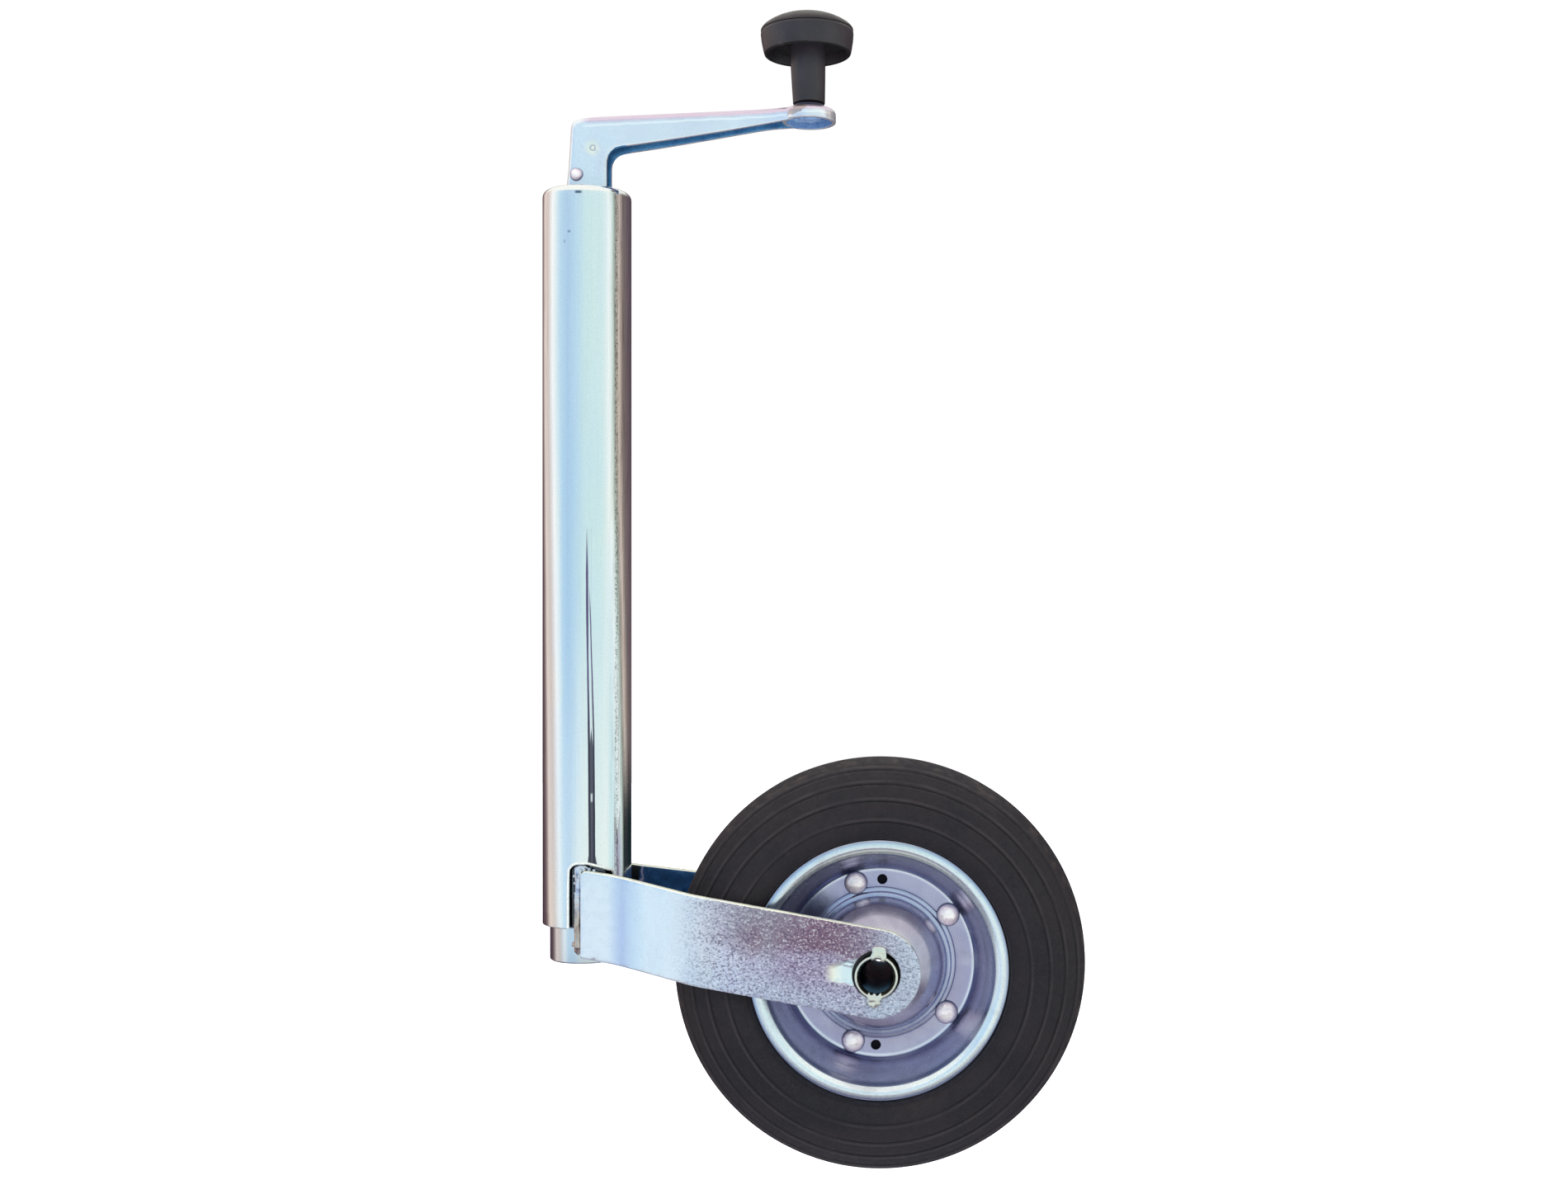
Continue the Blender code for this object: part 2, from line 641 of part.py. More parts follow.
place(
    turned("knob_cap", crown + [(25.5, 288.5), (7.2, 288.5), (7.2, 287.0), (0, 287.0)], 32, False),
    PLASTIC,
    knob_axis,
)
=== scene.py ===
"""Looks of the trailer tongue jack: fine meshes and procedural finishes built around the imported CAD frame."""
import bpy
import bmesh
import math
from mathutils import Matrix, Vector, noise
from mathutils.geometry import delaunay_2d_cdt


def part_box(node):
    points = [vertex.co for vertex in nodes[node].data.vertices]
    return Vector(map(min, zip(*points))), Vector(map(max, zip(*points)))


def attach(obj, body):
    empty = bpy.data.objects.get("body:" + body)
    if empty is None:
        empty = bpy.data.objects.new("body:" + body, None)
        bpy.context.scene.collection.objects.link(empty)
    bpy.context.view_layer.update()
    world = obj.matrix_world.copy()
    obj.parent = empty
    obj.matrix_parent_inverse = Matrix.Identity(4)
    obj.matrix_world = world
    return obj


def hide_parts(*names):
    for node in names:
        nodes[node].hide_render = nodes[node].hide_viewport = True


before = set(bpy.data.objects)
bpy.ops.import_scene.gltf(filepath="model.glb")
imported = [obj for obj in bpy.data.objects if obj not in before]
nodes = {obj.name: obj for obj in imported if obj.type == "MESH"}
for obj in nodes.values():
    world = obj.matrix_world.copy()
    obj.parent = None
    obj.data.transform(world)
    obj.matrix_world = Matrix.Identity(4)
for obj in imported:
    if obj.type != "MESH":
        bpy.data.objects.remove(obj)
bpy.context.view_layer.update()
MM = 0.001
scene = bpy.context.scene


def box_mm(node):
    lo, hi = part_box(node)
    return [v / MM for v in lo], [v / MM for v in hi]


# ------------------------------------------------------------------ places read from the frame, in millimetres
_lo, _hi = box_mm("tyre")
WX, WZ, TYRE_R = (_lo[0] + _hi[0]) / 2, (_lo[2] + _hi[2]) / 2, (_hi[0] - _lo[0]) / 2
_lo, _hi = box_mm("outer_tube")
TUBE_R, TUBE_BOTTOM, TUBE_TOP = _hi[0], _lo[2], _hi[2]
_lo, _hi = box_mm("inner_tube")
INNER_R, INNER_BOTTOM, INNER_TOP = _hi[0], _lo[2], _hi[2]
_lo, _hi = box_mm("fork_leg_near")
LEG_LEFT, LEG_FACE, LEG_RIGHT = _lo[0], -_lo[1], _hi[0]
_lo, _hi = box_mm("axle_tube")
AXLE_HALF = _hi[1]
_lo, _hi = box_mm("knob_washer")
EYE_X, WASHER_LOW, WASHER_TOP = (_lo[0] + _hi[0]) / 2, _lo[2], _hi[2]
_lo, _hi = box_mm("crank_rivet")
PIN_X, PIN_Z = (_lo[0] + _hi[0]) / 2, (_lo[2] + _hi[2]) / 2
_lo, _hi = box_mm("knob_cap")
KNOB_TOP = _hi[2]
RIVETS = []
for _i in range(5):
    _lo, _hi = box_mm("rim_rivet_%d" % (_i + 1))
    RIVETS.append(((_lo[0] + _hi[0]) / 2, (_lo[2] + _hi[2]) / 2))


# ------------------------------------------------------------------ material kit
class Kit:
    """A small helper for writing node trees."""

    def __init__(self, name):
        self.mat = bpy.data.materials.new(name)
        self.mat.use_nodes = True
        self.tree = self.mat.node_tree
        self.bsdf = self.tree.nodes["Principled BSDF"]
        self.coord = self.tree.nodes.new("ShaderNodeTexCoord").outputs["Object"]

    def put(self, value, socket):
        if isinstance(value, bpy.types.NodeSocket):
            self.tree.links.new(value, socket)
        elif isinstance(value, (tuple, list)) and len(value) == 3 and socket.type == "RGBA":
            socket.default_value = (*value, 1.0)
        else:
            socket.default_value = value

    def math(self, op, a, b=0.0, c=0.0, clamp=False):
        n = self.tree.nodes.new("ShaderNodeMath")
        n.operation, n.use_clamp = op, clamp
        for v, s in zip((a, b, c), n.inputs):
            self.put(v, s)
        return n.outputs[0]

    def xyz(self, vector=None):
        n = self.tree.nodes.new("ShaderNodeSeparateXYZ")
        self.put(vector or self.coord, n.inputs[0])
        return n.outputs

    def scaled(self, sx, sy, sz, vector=None):
        n = self.tree.nodes.new("ShaderNodeVectorMath")
        n.operation = "MULTIPLY"
        self.put(vector or self.coord, n.inputs[0])
        n.inputs[1].default_value = (sx, sy, sz)
        return n.outputs[0]

    def noise(self, scale, detail=3.0, rough=0.5, vector=None, distortion=0.0):
        n = self.tree.nodes.new("ShaderNodeTexNoise")
        self.put(vector or self.coord, n.inputs["Vector"])
        n.inputs["Scale"].default_value = scale
        n.inputs["Detail"].default_value = detail
        n.inputs["Roughness"].default_value = rough
        n.inputs["Distortion"].default_value = distortion
        return n.outputs[0]

    def cells(self, scale, vector=None, feature="F1"):
        n = self.tree.nodes.new("ShaderNodeTexVoronoi")
        n.feature = feature
        self.put(vector or self.coord, n.inputs["Vector"])
        n.inputs["Scale"].default_value = scale
        return n.outputs[0]

    def ramp(self, fac, stops, mode="LINEAR"):
        n = self.tree.nodes.new("ShaderNodeValToRGB")
        n.color_ramp.interpolation = mode
        while len(n.color_ramp.elements) > 1:
            n.color_ramp.elements.remove(n.color_ramp.elements[0])
        for i, (p, c) in enumerate(stops):
            e = n.color_ramp.elements[0] if i == 0 else n.color_ramp.elements.new(p)
            e.position = p
            e.color = (c, c, c, 1) if isinstance(c, (int, float)) else (*c, 1)
        self.put(fac, n.inputs[0])
        return n.outputs[0]

    def span(self, value, a, b, lo=0.0, hi=1.0, smooth=True):
        n = self.tree.nodes.new("ShaderNodeMapRange")
        n.interpolation_type = "SMOOTHSTEP" if smooth else "LINEAR"
        self.put(value, n.inputs[0])
        for s, v in zip(n.inputs[1:5], (a, b, lo, hi)):
            self.put(v, s)
        return n.outputs[0]

    def mix(self, fac, a, b, blend="MIX"):
        n = self.tree.nodes.new("ShaderNodeMix")
        n.data_type, n.blend_type = "RGBA", blend
        self.put(fac, n.inputs[0])
        self.put(a, n.inputs[6])
        self.put(b, n.inputs[7])
        return n.outputs[2]

    def bump(self, height, strength, distance, normal=None):
        n = self.tree.nodes.new("ShaderNodeBump")
        n.inputs["Strength"].default_value = strength
        n.inputs["Distance"].default_value = distance
        self.put(height, n.inputs["Height"])
        if normal is not None:
            self.put(normal, n.inputs["Normal"])
        return n.outputs[0]

    def edges(self, low=0.52, high=0.60):
        n = self.tree.nodes.new("ShaderNodeNewGeometry")
        return self.span(n.outputs["Pointiness"], low, high)

    def finish(self, colour, rough, metallic, normal=None, **constants):
        self.put(colour, self.bsdf.inputs["Base Color"])
        self.put(rough, self.bsdf.inputs["Roughness"])
        self.bsdf.inputs["Metallic"].default_value = metallic
        if normal is not None:
            self.put(normal, self.bsdf.inputs["Normal"])
        for key, value in constants.items():
            self.bsdf.inputs[key.replace("_", " ")].default_value = value
        return self.mat


def srgb(r, g, b):
    return tuple(((c / 255) / 12.92 if c / 255 <= 0.04045 else ((c / 255 + 0.055) / 1.055) ** 2.4) for c in (r, g, b))


def zinc(name, main, second, third, rough=(0.16, 0.30), grain=0.10, stretch=(1, 1, 1), spots=0.5, offset=0.0):
    """Clear-blue zinc plating: slow drifts of tint, a fine crystalline mottle, faint scuffs and brighter worn edges."""
    k = Kit(name)
    shifted = k.scaled(*stretch)
    drift = k.ramp(k.noise(14 + offset, 2, 0.5, shifted, 0.4), [(0.38, 0.0), (0.62, 1.0)])
    colour = k.mix(drift, main, second)
    patch = k.ramp(k.noise(38 + offset, 4, 0.6, shifted, 0.8), [(0.50, 0.0), (0.70, 1.0)])
    colour = k.mix(k.math("MULTIPLY", patch, 0.55), colour, third)
    mottle = k.noise(1300, 3, 0.6)
    colour = k.mix(k.span(mottle, 0.35, 0.65, 0.0, 0.16), colour, tuple(c * 0.62 for c in main))
    fleck = k.ramp(k.cells(420), [(0.0, 1.0), (0.045, 0.0)])
    rare = k.ramp(k.noise(120, 2), [(0.55, 0.0), (0.60, 1.0)])
    colour = k.mix(k.math("MULTIPLY", k.math("MULTIPLY", fleck, rare), spots), colour, (0.10, 0.09, 0.10))
    edge = k.edges()
    colour = k.mix(k.math("MULTIPLY", edge, 0.6), colour, (0.93, 0.93, 0.90))
    roughness = k.span(k.noise(60, 5, 0.65, shifted), 0.3, 0.7, rough[0], rough[1])
    height = k.math("ADD", k.math("MULTIPLY", k.noise(900, 4, 0.6), 0.6), k.math("MULTIPLY", k.noise(130, 2, 0.5), 1.2))
    scratch = k.noise(160, 3, 0.5, k.scaled(9, 9, 0.4))
    height = k.math("ADD", height, k.math("MULTIPLY", scratch, 0.5))
    return k, colour, roughness, height, grain


def zinc_plain(*args, **kw):
    k, colour, roughness, height, grain = zinc(*args, **kw)
    return k.finish(colour, roughness, 1.0, k.bump(height, grain, 0.0004))


# ------------------------------------------------------------------ mesh kit
def make(name, verts, faces, mat, body, stands_for, sharp=32.0, extra=()):
    mesh = bpy.data.meshes.new(name)
    mesh.from_pydata([(x * MM, y * MM, z * MM) for x, y, z in verts], [], faces)
    ob = bpy.data.objects.new(name, mesh)
    scene.collection.objects.link(ob)
    tidy(ob, sharp)
    for m in (mat,) + tuple(extra):
        ob.data.materials.append(m)
    own(ob, body, stands_for)
    return ob


def own(ob, body, stands_for):
    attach(ob, body)
    if stands_for:
        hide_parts(*stands_for)


def tidy(ob, sharp=32.0, merge=0.0):
    work = bmesh.new()
    work.from_mesh(ob.data)
    if merge:
        bmesh.ops.remove_doubles(work, verts=work.verts, dist=merge)
    bmesh.ops.recalc_face_normals(work, faces=work.faces)
    work.to_mesh(ob.data)
    work.free()
    ob.data.shade_smooth()
    ob.data.set_sharp_from_angle(angle=math.radians(sharp))


def repaint(ob, mat, test):
    """Gives a second finish to the faces that pass test(centre in millimetres, normal)."""
    ob.data.materials.append(mat)
    slot = len(ob.data.materials) - 1
    for face in ob.data.polygons:
        if test(face.center / MM, face.normal):
            face.material_index = slot


def settle(ob, sharp=32.0):
    """Applies the object's modifiers to its mesh."""
    bpy.context.view_layer.update()
    mesh = bpy.data.meshes.new_from_object(ob.evaluated_get(bpy.context.evaluated_depsgraph_get()))
    ob.modifiers.clear()
    ob.data = mesh
    tidy(ob, sharp)
    return ob


def cutter(name, verts, faces):
    mesh = bpy.data.meshes.new(name)
    mesh.from_pydata([(x * MM, y * MM, z * MM) for x, y, z in verts], [], faces)
    ob = bpy.data.objects.new(name, mesh)
    scene.collection.objects.link(ob)
    tidy(ob)
    return ob


def cut(ob, tool, operation="DIFFERENCE"):
    mod = ob.modifiers.new("cut", "BOOLEAN")
    mod.operation, mod.object, mod.solver = operation, tool, "EXACT"
    bpy.context.view_layer.update()
    mesh = bpy.data.meshes.new_from_object(ob.evaluated_get(bpy.context.evaluated_depsgraph_get()))
    ob.modifiers.clear()
    old, ob.data = ob.data, mesh
    bpy.data.meshes.remove(old)
    bpy.data.objects.remove(tool, do_unlink=True)


def soften(ob, width, segments=2, angle=32.0):
    mod = ob.modifiers.new("soft", "BEVEL")
    mod.width, mod.segments, mod.limit_method, mod.angle_limit = width * MM, segments, "ANGLE", math.radians(angle)
    mod.use_clamp_overlap = True
    mod.harden_normals = False


def rounded(points, n=4, closed=True):
    """The polygon with each corner that states a radius turned into an arc: points are (r, h) or (r, h, radius)."""
    out, m = [], len(points)
    for i, p in enumerate(points):
        rad = p[2] if len(p) > 2 else 0
        if rad <= 0 or (not closed and i in (0, m - 1)):
            out.append((p[0], p[1]))
            continue
        a, b, c = Vector(points[i - 1][:2]), Vector(p[:2]), Vector(points[(i + 1) % m][:2])
        u, v = a - b, c - b
        lu, lv = u.length, v.length
        u, v = u / lu, v / lv
        half = math.acos(max(-1, min(1, u.dot(v)))) / 2
        if half > math.radians(88.5) or half < 0.01:
            out.append((p[0], p[1]))
            continue
        t = min(rad / math.tan(half), 0.49 * lu, 0.49 * lv)
        rad = t * math.tan(half)
        mid = (u + v).normalized() * (rad / math.sin(half)) + b
        s, e = b + u * t - mid, b + v * t - mid
        full = s.angle(e)
        for k in range(n + 1):
            f = k / n
            q = (s * math.sin((1 - f) * full) + e * math.sin(f * full)) / math.sin(full) if full > 1e-4 else s.lerp(e, f)
            out.append((mid.x + q.x, mid.y + q.y))
    return out


def lathe(profile, spot, segs, shape=None, closed=True):
    """Vertices and faces of a turned form: spot(r, h, angle) gives the point, shape(r, h, angle) may bend it first."""
    verts, faces, rings = [], [], []
    for r, h in profile:
        if r < 1e-6:
            rings.append([len(verts)])
            verts.append(spot(0, h, 0))
            continue
        rings.append(list(range(len(verts), len(verts) + segs)))
        for k in range(segs):
            a = 2 * math.pi * k / segs
            rr, hh = shape(r, h, a) if shape else (r, h)
            verts.append(spot(rr, hh, a))
    n = len(rings)
    for i in range(n if closed else n - 1):
        p, q = rings[i], rings[(i + 1) % n]
        for k in range(segs):
            j = (k + 1) % segs
            if len(p) == 1 and len(q) == 1:
                break
            if len(p) == 1:
                faces.append((p[0], q[k], q[j]))
            elif len(q) == 1:
                faces.append((p[k], q[0], p[j]))
            else:
                faces.append((p[k], q[k], q[j], p[j]))
    return verts, faces


def upright(x=0.0, y=0.0):
    return lambda r, h, a: (x + r * math.cos(a), y + r * math.sin(a), h)


def across(side, x=None, z=None):
    """Turned about the wheel's direction: h is the distance from the middle plane towards that side (1 near, -1 far)."""
    x, z = WX if x is None else x, WZ if z is None else z
    return lambda r, h, a: (x + r * math.cos(a), -side * h, z + r * math.sin(a))


def lerp_path(path, t):
    """A point at the fraction t of a path of points, by index, along a Catmull-Rom curve."""
    n = len(path) - 1
    f = min(max(t, 0.0), 1.0) * n
    i = min(int(f), n - 1)
    u = f - i
    p0, p1, p2, p3 = path[max(i - 1, 0)], path[i], path[i + 1], path[min(i + 2, n)]
    return tuple(
        0.5 * (2 * b + (c - a) * u + (2 * a - 5 * b + 4 * c - d) * u * u + (3 * b - a - 3 * c + d) * u ** 3)
        for a, b, c, d in zip(p0, p1, p2, p3)
    )


def lump(x, y, z, size, seed=0.0):
    return noise.noise(Vector((x / size + seed, y / size - seed, z / size + 0.37 * seed)))


# ------------------------------------------------------------------ finishes
BLUE, ICE, PALE_GREEN = srgb(196, 217, 238), srgb(214, 233, 243), srgb(226, 238, 232)
LILAC, MAUVE, DEEP = srgb(182, 182, 214), srgb(166, 150, 172), srgb(140, 150, 192)


def tube_finish():
    k, colour, roughness, height, grain = zinc(
        "zinc_tube", srgb(246, 250, 252), srgb(236, 246, 253), srgb(248, 251, 244), (0.06, 0.12), 0.05, (1, 1, 0.16)
    )
    x, y, z = k.xyz()
    near = k.math("LESS_THAN", y, 0.0)
    wob = k.math("MULTIPLY", k.math("SUBTRACT", k.noise(150, 3, 0.6, k.scaled(1, 1, 0.5)), 0.5), 0.00035)
    where = k.math("ADD", x, wob)
    drop = k.span(z, 0.0155, -0.168, 0.0, 1.0, False)

    def groove_shade_line(middle, half):
        """A painted shade line along the drawn groove down the near side: its middle and half width against the
        fraction of the drop, in centimetres.
        """
        off = k.math("ABSOLUTE", k.math("SUBTRACT", where, k.math("MULTIPLY", k.ramp(drop, middle), 0.01)))
        return k.span(k.math("SUBTRACT", k.math("MULTIPLY", k.ramp(drop, half), 0.01), off), -0.00016, 0.00022)

    left = groove_shade_line([(0.0, 0.430), (0.30, 0.455), (0.63, 0.545), (1.0, 0.60)], [(0.0, 0.0), (0.02, 0.012), (0.13, 0.062), (0.24, 0.066), (0.40, 0.046), (0.62, 0.060), (1.0, 0.075)])
    right = groove_shade_line([(0.0, 0.50), (0.18, 0.57), (0.60, 0.78), (1.0, 0.79)], [(0.0, 0.0), (0.17, 0.0), (0.24, 0.030), (0.45, 0.038), (0.62, 0.045), (1.0, 0.085)])
    band = groove_shade_line([(0.0, 0.66), (0.6, 0.66), (1.0, 0.70)], [(0.0, 0.0), (0.585, 0.0), (0.66, 0.12), (0.95, 0.15), (1.0, 0.29)])
    grit = k.span(k.noise(420, 4, 0.7, k.scaled(1, 1, 0.14)), 0.30, 0.62, 1.0, 0.35)
    gap = k.span(k.math("ABSOLUTE", k.math("ADD", z, 0.1295)), 0.0012, 0.0030, 0.25, 1.0)
    line = k.math("MAXIMUM", k.math("MAXIMUM", left, right), k.math("MULTIPLY", k.math("MULTIPLY", band, 0.92), gap))
    line = k.math("MULTIPLY", k.math("MULTIPLY", line, near), k.math("MAXIMUM", grit, 0.955))
    line = k.math("MULTIPLY", line, k.math("LESS_THAN", z, 0.0155))
    # painted shade: the groove's lines on the near side are coloured dark violet
    colour = k.mix(k.math("MULTIPLY", line, 0.99), colour, k.mix(k.span(z, -0.105, -0.060), srgb(40, 32, 64), srgb(96, 76, 128)))
    # small marks under the rolled edge
    def nick(cx, cz, wx, wz, deep, tone, colour):
        m = k.math("MULTIPLY", k.span(k.math("ABSOLUTE", k.math("SUBTRACT", z, cz)), wz, wz * 0.3), k.span(k.math("ABSOLUTE", k.math("SUBTRACT", x, cx)), wx, wx * 0.35))
        return k.mix(k.math("MULTIPLY", k.math("MULTIPLY", m, near), deep), colour, tone)
    colour = nick(-0.0002, 0.1953, 0.0026, 0.0011, 0.85, srgb(24, 60, 100), colour)
    colour = nick(-0.0052, 0.1742, 0.0012, 0.0009, 0.55, srgb(90, 90, 150), colour)
    colour = nick(-0.0078, 0.1690, 0.0008, 0.0014, 0.40, srgb(110, 120, 170), colour)
    fine = k.noise(900, 4, 0.75, k.scaled(1, 1, 0.035))
    side = k.span(k.math("ABSOLUTE", k.math("SUBTRACT", x, -0.001)), 0.0155, 0.0210)
    colour = k.mix(k.math("MULTIPLY", k.span(fine, 0.46, 0.64), k.math("ADD", 0.05, k.math("MULTIPLY", side, 0.42))), colour, srgb(150, 140, 140))
    speckle = k.math("MULTIPLY", k.span(k.math("ABSOLUTE", k.math("SUBTRACT", x, 0.0187)), 0.0011, 0.0004), k.span(k.noise(1500, 2, 0.6, k.scaled(1, 1, 0.5)), 0.50, 0.60))
    colour = k.mix(k.math("MULTIPLY", k.math("MULTIPLY", speckle, near), 0.65), colour, srgb(70, 76, 66))
    roughness = k.math("ADD", roughness, k.math("MULTIPLY", line, 0.30))
    return k.finish(colour, roughness, 1.0, k.bump(height, grain, 0.0003))


def inner_finish():
    """The sliding tube: bright where it shows below the outer tube, with painted shade, near black, from the outer
    tube's bottom edge up to about the notch's top.
    """
    k, colour, roughness, height, grain = zinc(
        "zinc_inner_tube", srgb(232, 240, 246), srgb(224, 236, 244), srgb(226, 228, 236), (0.08, 0.15), 0.05, (1, 1, 0.2)
    )
    x, y, z = k.xyz()
    # painted shade: near black from the outer tube's bottom edge up to about the notch's top
    painted_inside_shade = k.span(k.math("ADD", z, k.math("MULTIPLY", k.noise(120, 2), 0.0006)), -0.2004, -0.1992)
    painted_inside_shade = k.math("MULTIPLY", painted_inside_shade, k.span(k.math("ADD", z, k.math("MULTIPLY", k.noise(60, 3), 0.010)), -0.138, -0.156))
    streaks = k.noise(90, 4, 0.6, k.scaled(1, 1, 0.1))
    colour = k.mix(k.math("MULTIPLY", painted_inside_shade, 0.93), colour, k.mix(k.span(streaks, 0.35, 0.65), (0.010, 0.013, 0.022), (0.035, 0.045, 0.080)))
    return k.finish(colour, roughness, 1.0, k.bump(height, grain, 0.0003))


def leg_finish(name, seed):
    """Smooth plating near the tube that turns into a coarse hammered grain towards the wheel; its tints carry painted
    reflection and its edges painted highlights.
    """
    k = Kit(name)
    x, y, z = k.xyz()
    along = k.span(x, 0.0, 0.185, 0.0, 1.0, False)
    # painted reflection along the bar: a darker blue band at the bend and lilac-mauve further out
    tint = k.ramp(
        along,
        [
            (0.0, srgb(228, 236, 248)),
            (0.09, srgb(226, 236, 248)),
            (0.128, srgb(198, 210, 238)),
            (0.165, srgb(218, 232, 248)),
            (0.20, srgb(238, 246, 252)),
            (0.32, srgb(238, 243, 250)),
            (0.44, srgb(220, 220, 243)),
            (0.62, srgb(184, 168, 198)),
            (0.82, srgb(190, 182, 206)),
            (1.0, srgb(210, 216, 236)),
        ],
    )
    # painted reflection by height above the bar's middle line: mauve towards the top, bluer towards the lower edge
    slant = k.math("ADD", k.math("ADD", z, k.math("MULTIPLY", x, 0.1815)), 0.1917)
    up = k.span(slant, -0.022, 0.020)
    grainy = k.span(x, 0.046, 0.078)
    painted_mauve_reflection = k.math("MULTIPLY", k.span(k.math("ADD", up, k.math("MULTIPLY", k.math("SUBTRACT", k.noise(30 + seed, 3), 0.5), 0.9)), 0.42, 0.78), grainy)
    away = k.span(k.math("ABSOLUTE", k.math("SUBTRACT", x, 0.118)), 0.058, 0.018)
    tint = k.mix(k.math("MULTIPLY", k.math("MULTIPLY", painted_mauve_reflection, away), 0.88), tint, srgb(142, 108, 128))
    low = k.math("MULTIPLY", k.span(slant, -0.004, -0.022), grainy)
    tint = k.mix(k.math("MULTIPLY", low, 0.45), tint, srgb(206, 220, 244))
    pits = k.noise(820, 3, 0.6, k.scaled(1.0, 1.0, 1.35))
    coarse = k.noise(520, 3, 0.6)
    smooth_patch = k.math(
        "MULTIPLY",
        k.math("MULTIPLY", k.span(x, 0.1318, 0.1385), k.math("LESS_THAN", x, 0.1505)),
        k.span(
            k.math("ABSOLUTE", k.math("ADD", z, k.math("ADD", 0.2196, k.math("MULTIPLY", k.math("SUBTRACT", k.noise(260, 2), 0.5), 0.006)))),
            k.span(x, 0.132, 0.146, 0.0046, 0.0076, False),
            k.span(x, 0.132, 0.146, 0.0016, 0.0052, False),
        ),
    )
    grainy = k.math("MULTIPLY", grainy, k.math("SUBTRACT", 1.0, smooth_patch))
    dark = k.math("MULTIPLY", k.span(pits, 0.49, 0.38), grainy)
    tint = k.mix(k.math("MULTIPLY", dark, 0.72), tint, srgb(88, 72, 104))
    bright = k.math("MULTIPLY", k.span(pits, 0.55, 0.67), grainy)
    tint = k.mix(k.math("MULTIPLY", bright, 0.72), tint, srgb(250, 250, 255))
    # painted reflection: the smooth pressed patch is coloured pale cream, turning cyan towards the hole
    tint = k.mix(k.math("MULTIPLY", smooth_patch, 0.92), tint, k.mix(k.span(x, 0.1440, 0.1350), srgb(222, 242, 248), srgb(255, 253, 234)))
    fleck = k.math("MULTIPLY", k.ramp(k.cells(230), [(0.0, 1.0), (0.05, 0.0)]), k.ramp(k.noise(90, 2), [(0.54, 0.0), (0.58, 1.0)]))
    tint = k.mix(k.math("MULTIPLY", fleck, 0.55), tint, srgb(110, 116, 168))
    slow = k.noise(26, 3, 0.5, k.scaled(1, 1, 0.5))
    tint = k.mix(k.span(slow, 0.35, 0.65, 0.0, 0.28), tint, srgb(206, 226, 236))
    # painted highlight: convex edges are lightened to pale yellow
    tint = k.mix(k.math("MULTIPLY", k.edges(0.53, 0.60), 0.75), tint, srgb(255, 253, 226))
    roughness = k.math("ADD", k.math("MULTIPLY", grainy, 0.17), k.span(k.noise(200, 4), 0.3, 0.7, 0.20, 0.30))
    height = k.math("MULTIPLY", k.math("ADD", k.math("MULTIPLY", pits, 0.9), k.math("MULTIPLY", coarse, 0.8)), grainy)
    height = k.math("ADD", height, k.math("MULTIPLY", k.noise(150, 3), 0.20))
    return k.finish(tint, roughness, 0.86, k.bump(height, 0.60, 0.0008))


def rubber_finish():
    k = Kit("tyre_rubber_moulded")
    x, y, z = k.xyz()
    dx, dz = k.math("SUBTRACT", x, WX * MM), k.math("SUBTRACT", z, WZ * MM)
    radius = k.math("SQRT", k.math("ADD", k.math("MULTIPLY", dx, dx), k.math("MULTIPLY", dz, dz)))
    slow = k.noise(24, 4, 0.6, None, 0.6)
    colour = k.mix(k.span(slow, 0.34, 0.66), srgb(22, 22, 27), srgb(31, 27, 31))
    band = k.ramp(k.span(radius, 0.070, 0.1125, 0, 1, False), [(0, 0.30), (0.3, 0.0), (0.62, 0.25), (0.8, 0.75), (1.0, 0.45)])
    colour = k.mix(k.math("MULTIPLY", band, 0.5), colour, srgb(34, 30, 33))
    fine = k.noise(1600, 3, 0.7)
    colour = k.mix(k.span(fine, 0.42, 0.75, 0.0, 0.35), colour, srgb(56, 50, 60))
    # moulded rings: painted shade as a dark line in each groove, with a paler painted highlight outside it
    painted_ring_shade, painted_ring_highlight = 0.0, 0.0
    for c in (80.4, 91.0, 99.6, 106.6):
        away = k.math("ABSOLUTE", k.math("SUBTRACT", radius, c * MM))
        painted_ring_shade = k.math("MAXIMUM", painted_ring_shade, k.span(away, 0.00062, 0.00015))
        pale = k.math("ABSOLUTE", k.math("SUBTRACT", radius, (c + 1.5) * MM))
        painted_ring_highlight = k.math("MAXIMUM", painted_ring_highlight, k.span(pale, 0.0010, 0.0002))
    broken = k.span(k.noise(46, 3), 0.34, 0.62, 0.35, 1.0)
    colour = k.mix(k.math("MULTIPLY", k.math("MULTIPLY", painted_ring_shade, broken), 0.75), colour, (0.003, 0.003, 0.004))
    colour = k.mix(k.math("MULTIPLY", k.math("MULTIPLY", painted_ring_highlight, broken), 0.13), colour, srgb(92, 84, 88))
    rings = k.math("SINE", k.math("MULTIPLY", radius, 2 * math.pi / 0.0021))
    wear = k.math("MULTIPLY", k.span(radius, 0.1070, 0.1105), k.span(k.noise(110, 4), 0.50, 0.66))
    colour = k.mix(k.math("MULTIPLY", wear, 0.22), colour, srgb(96, 80, 74))
    speck = k.math("MULTIPLY", k.ramp(k.cells(260), [(0.0, 1.0), (0.05, 0.0)]), k.ramp(k.noise(55, 3), [(0.60, 0.0), (0.64, 1.0)]))
    colour = k.mix(k.math("MULTIPLY", speck, 0.6), colour, srgb(140, 132, 150))
    roughness = k.span(k.noise(240, 4, 0.6), 0.3, 0.7, 0.50, 0.70)
    height = k.math("ADD", k.math("MULTIPLY", fine, 0.8), k.math("MULTIPLY", rings, 0.10))
    height = k.math("ADD", height, k.math("MULTIPLY", slow, 0.5))
    return k.finish(colour, roughness, 0.0, k.bump(height, 0.35, 0.0005), Specular_IOR_Level=0.24)


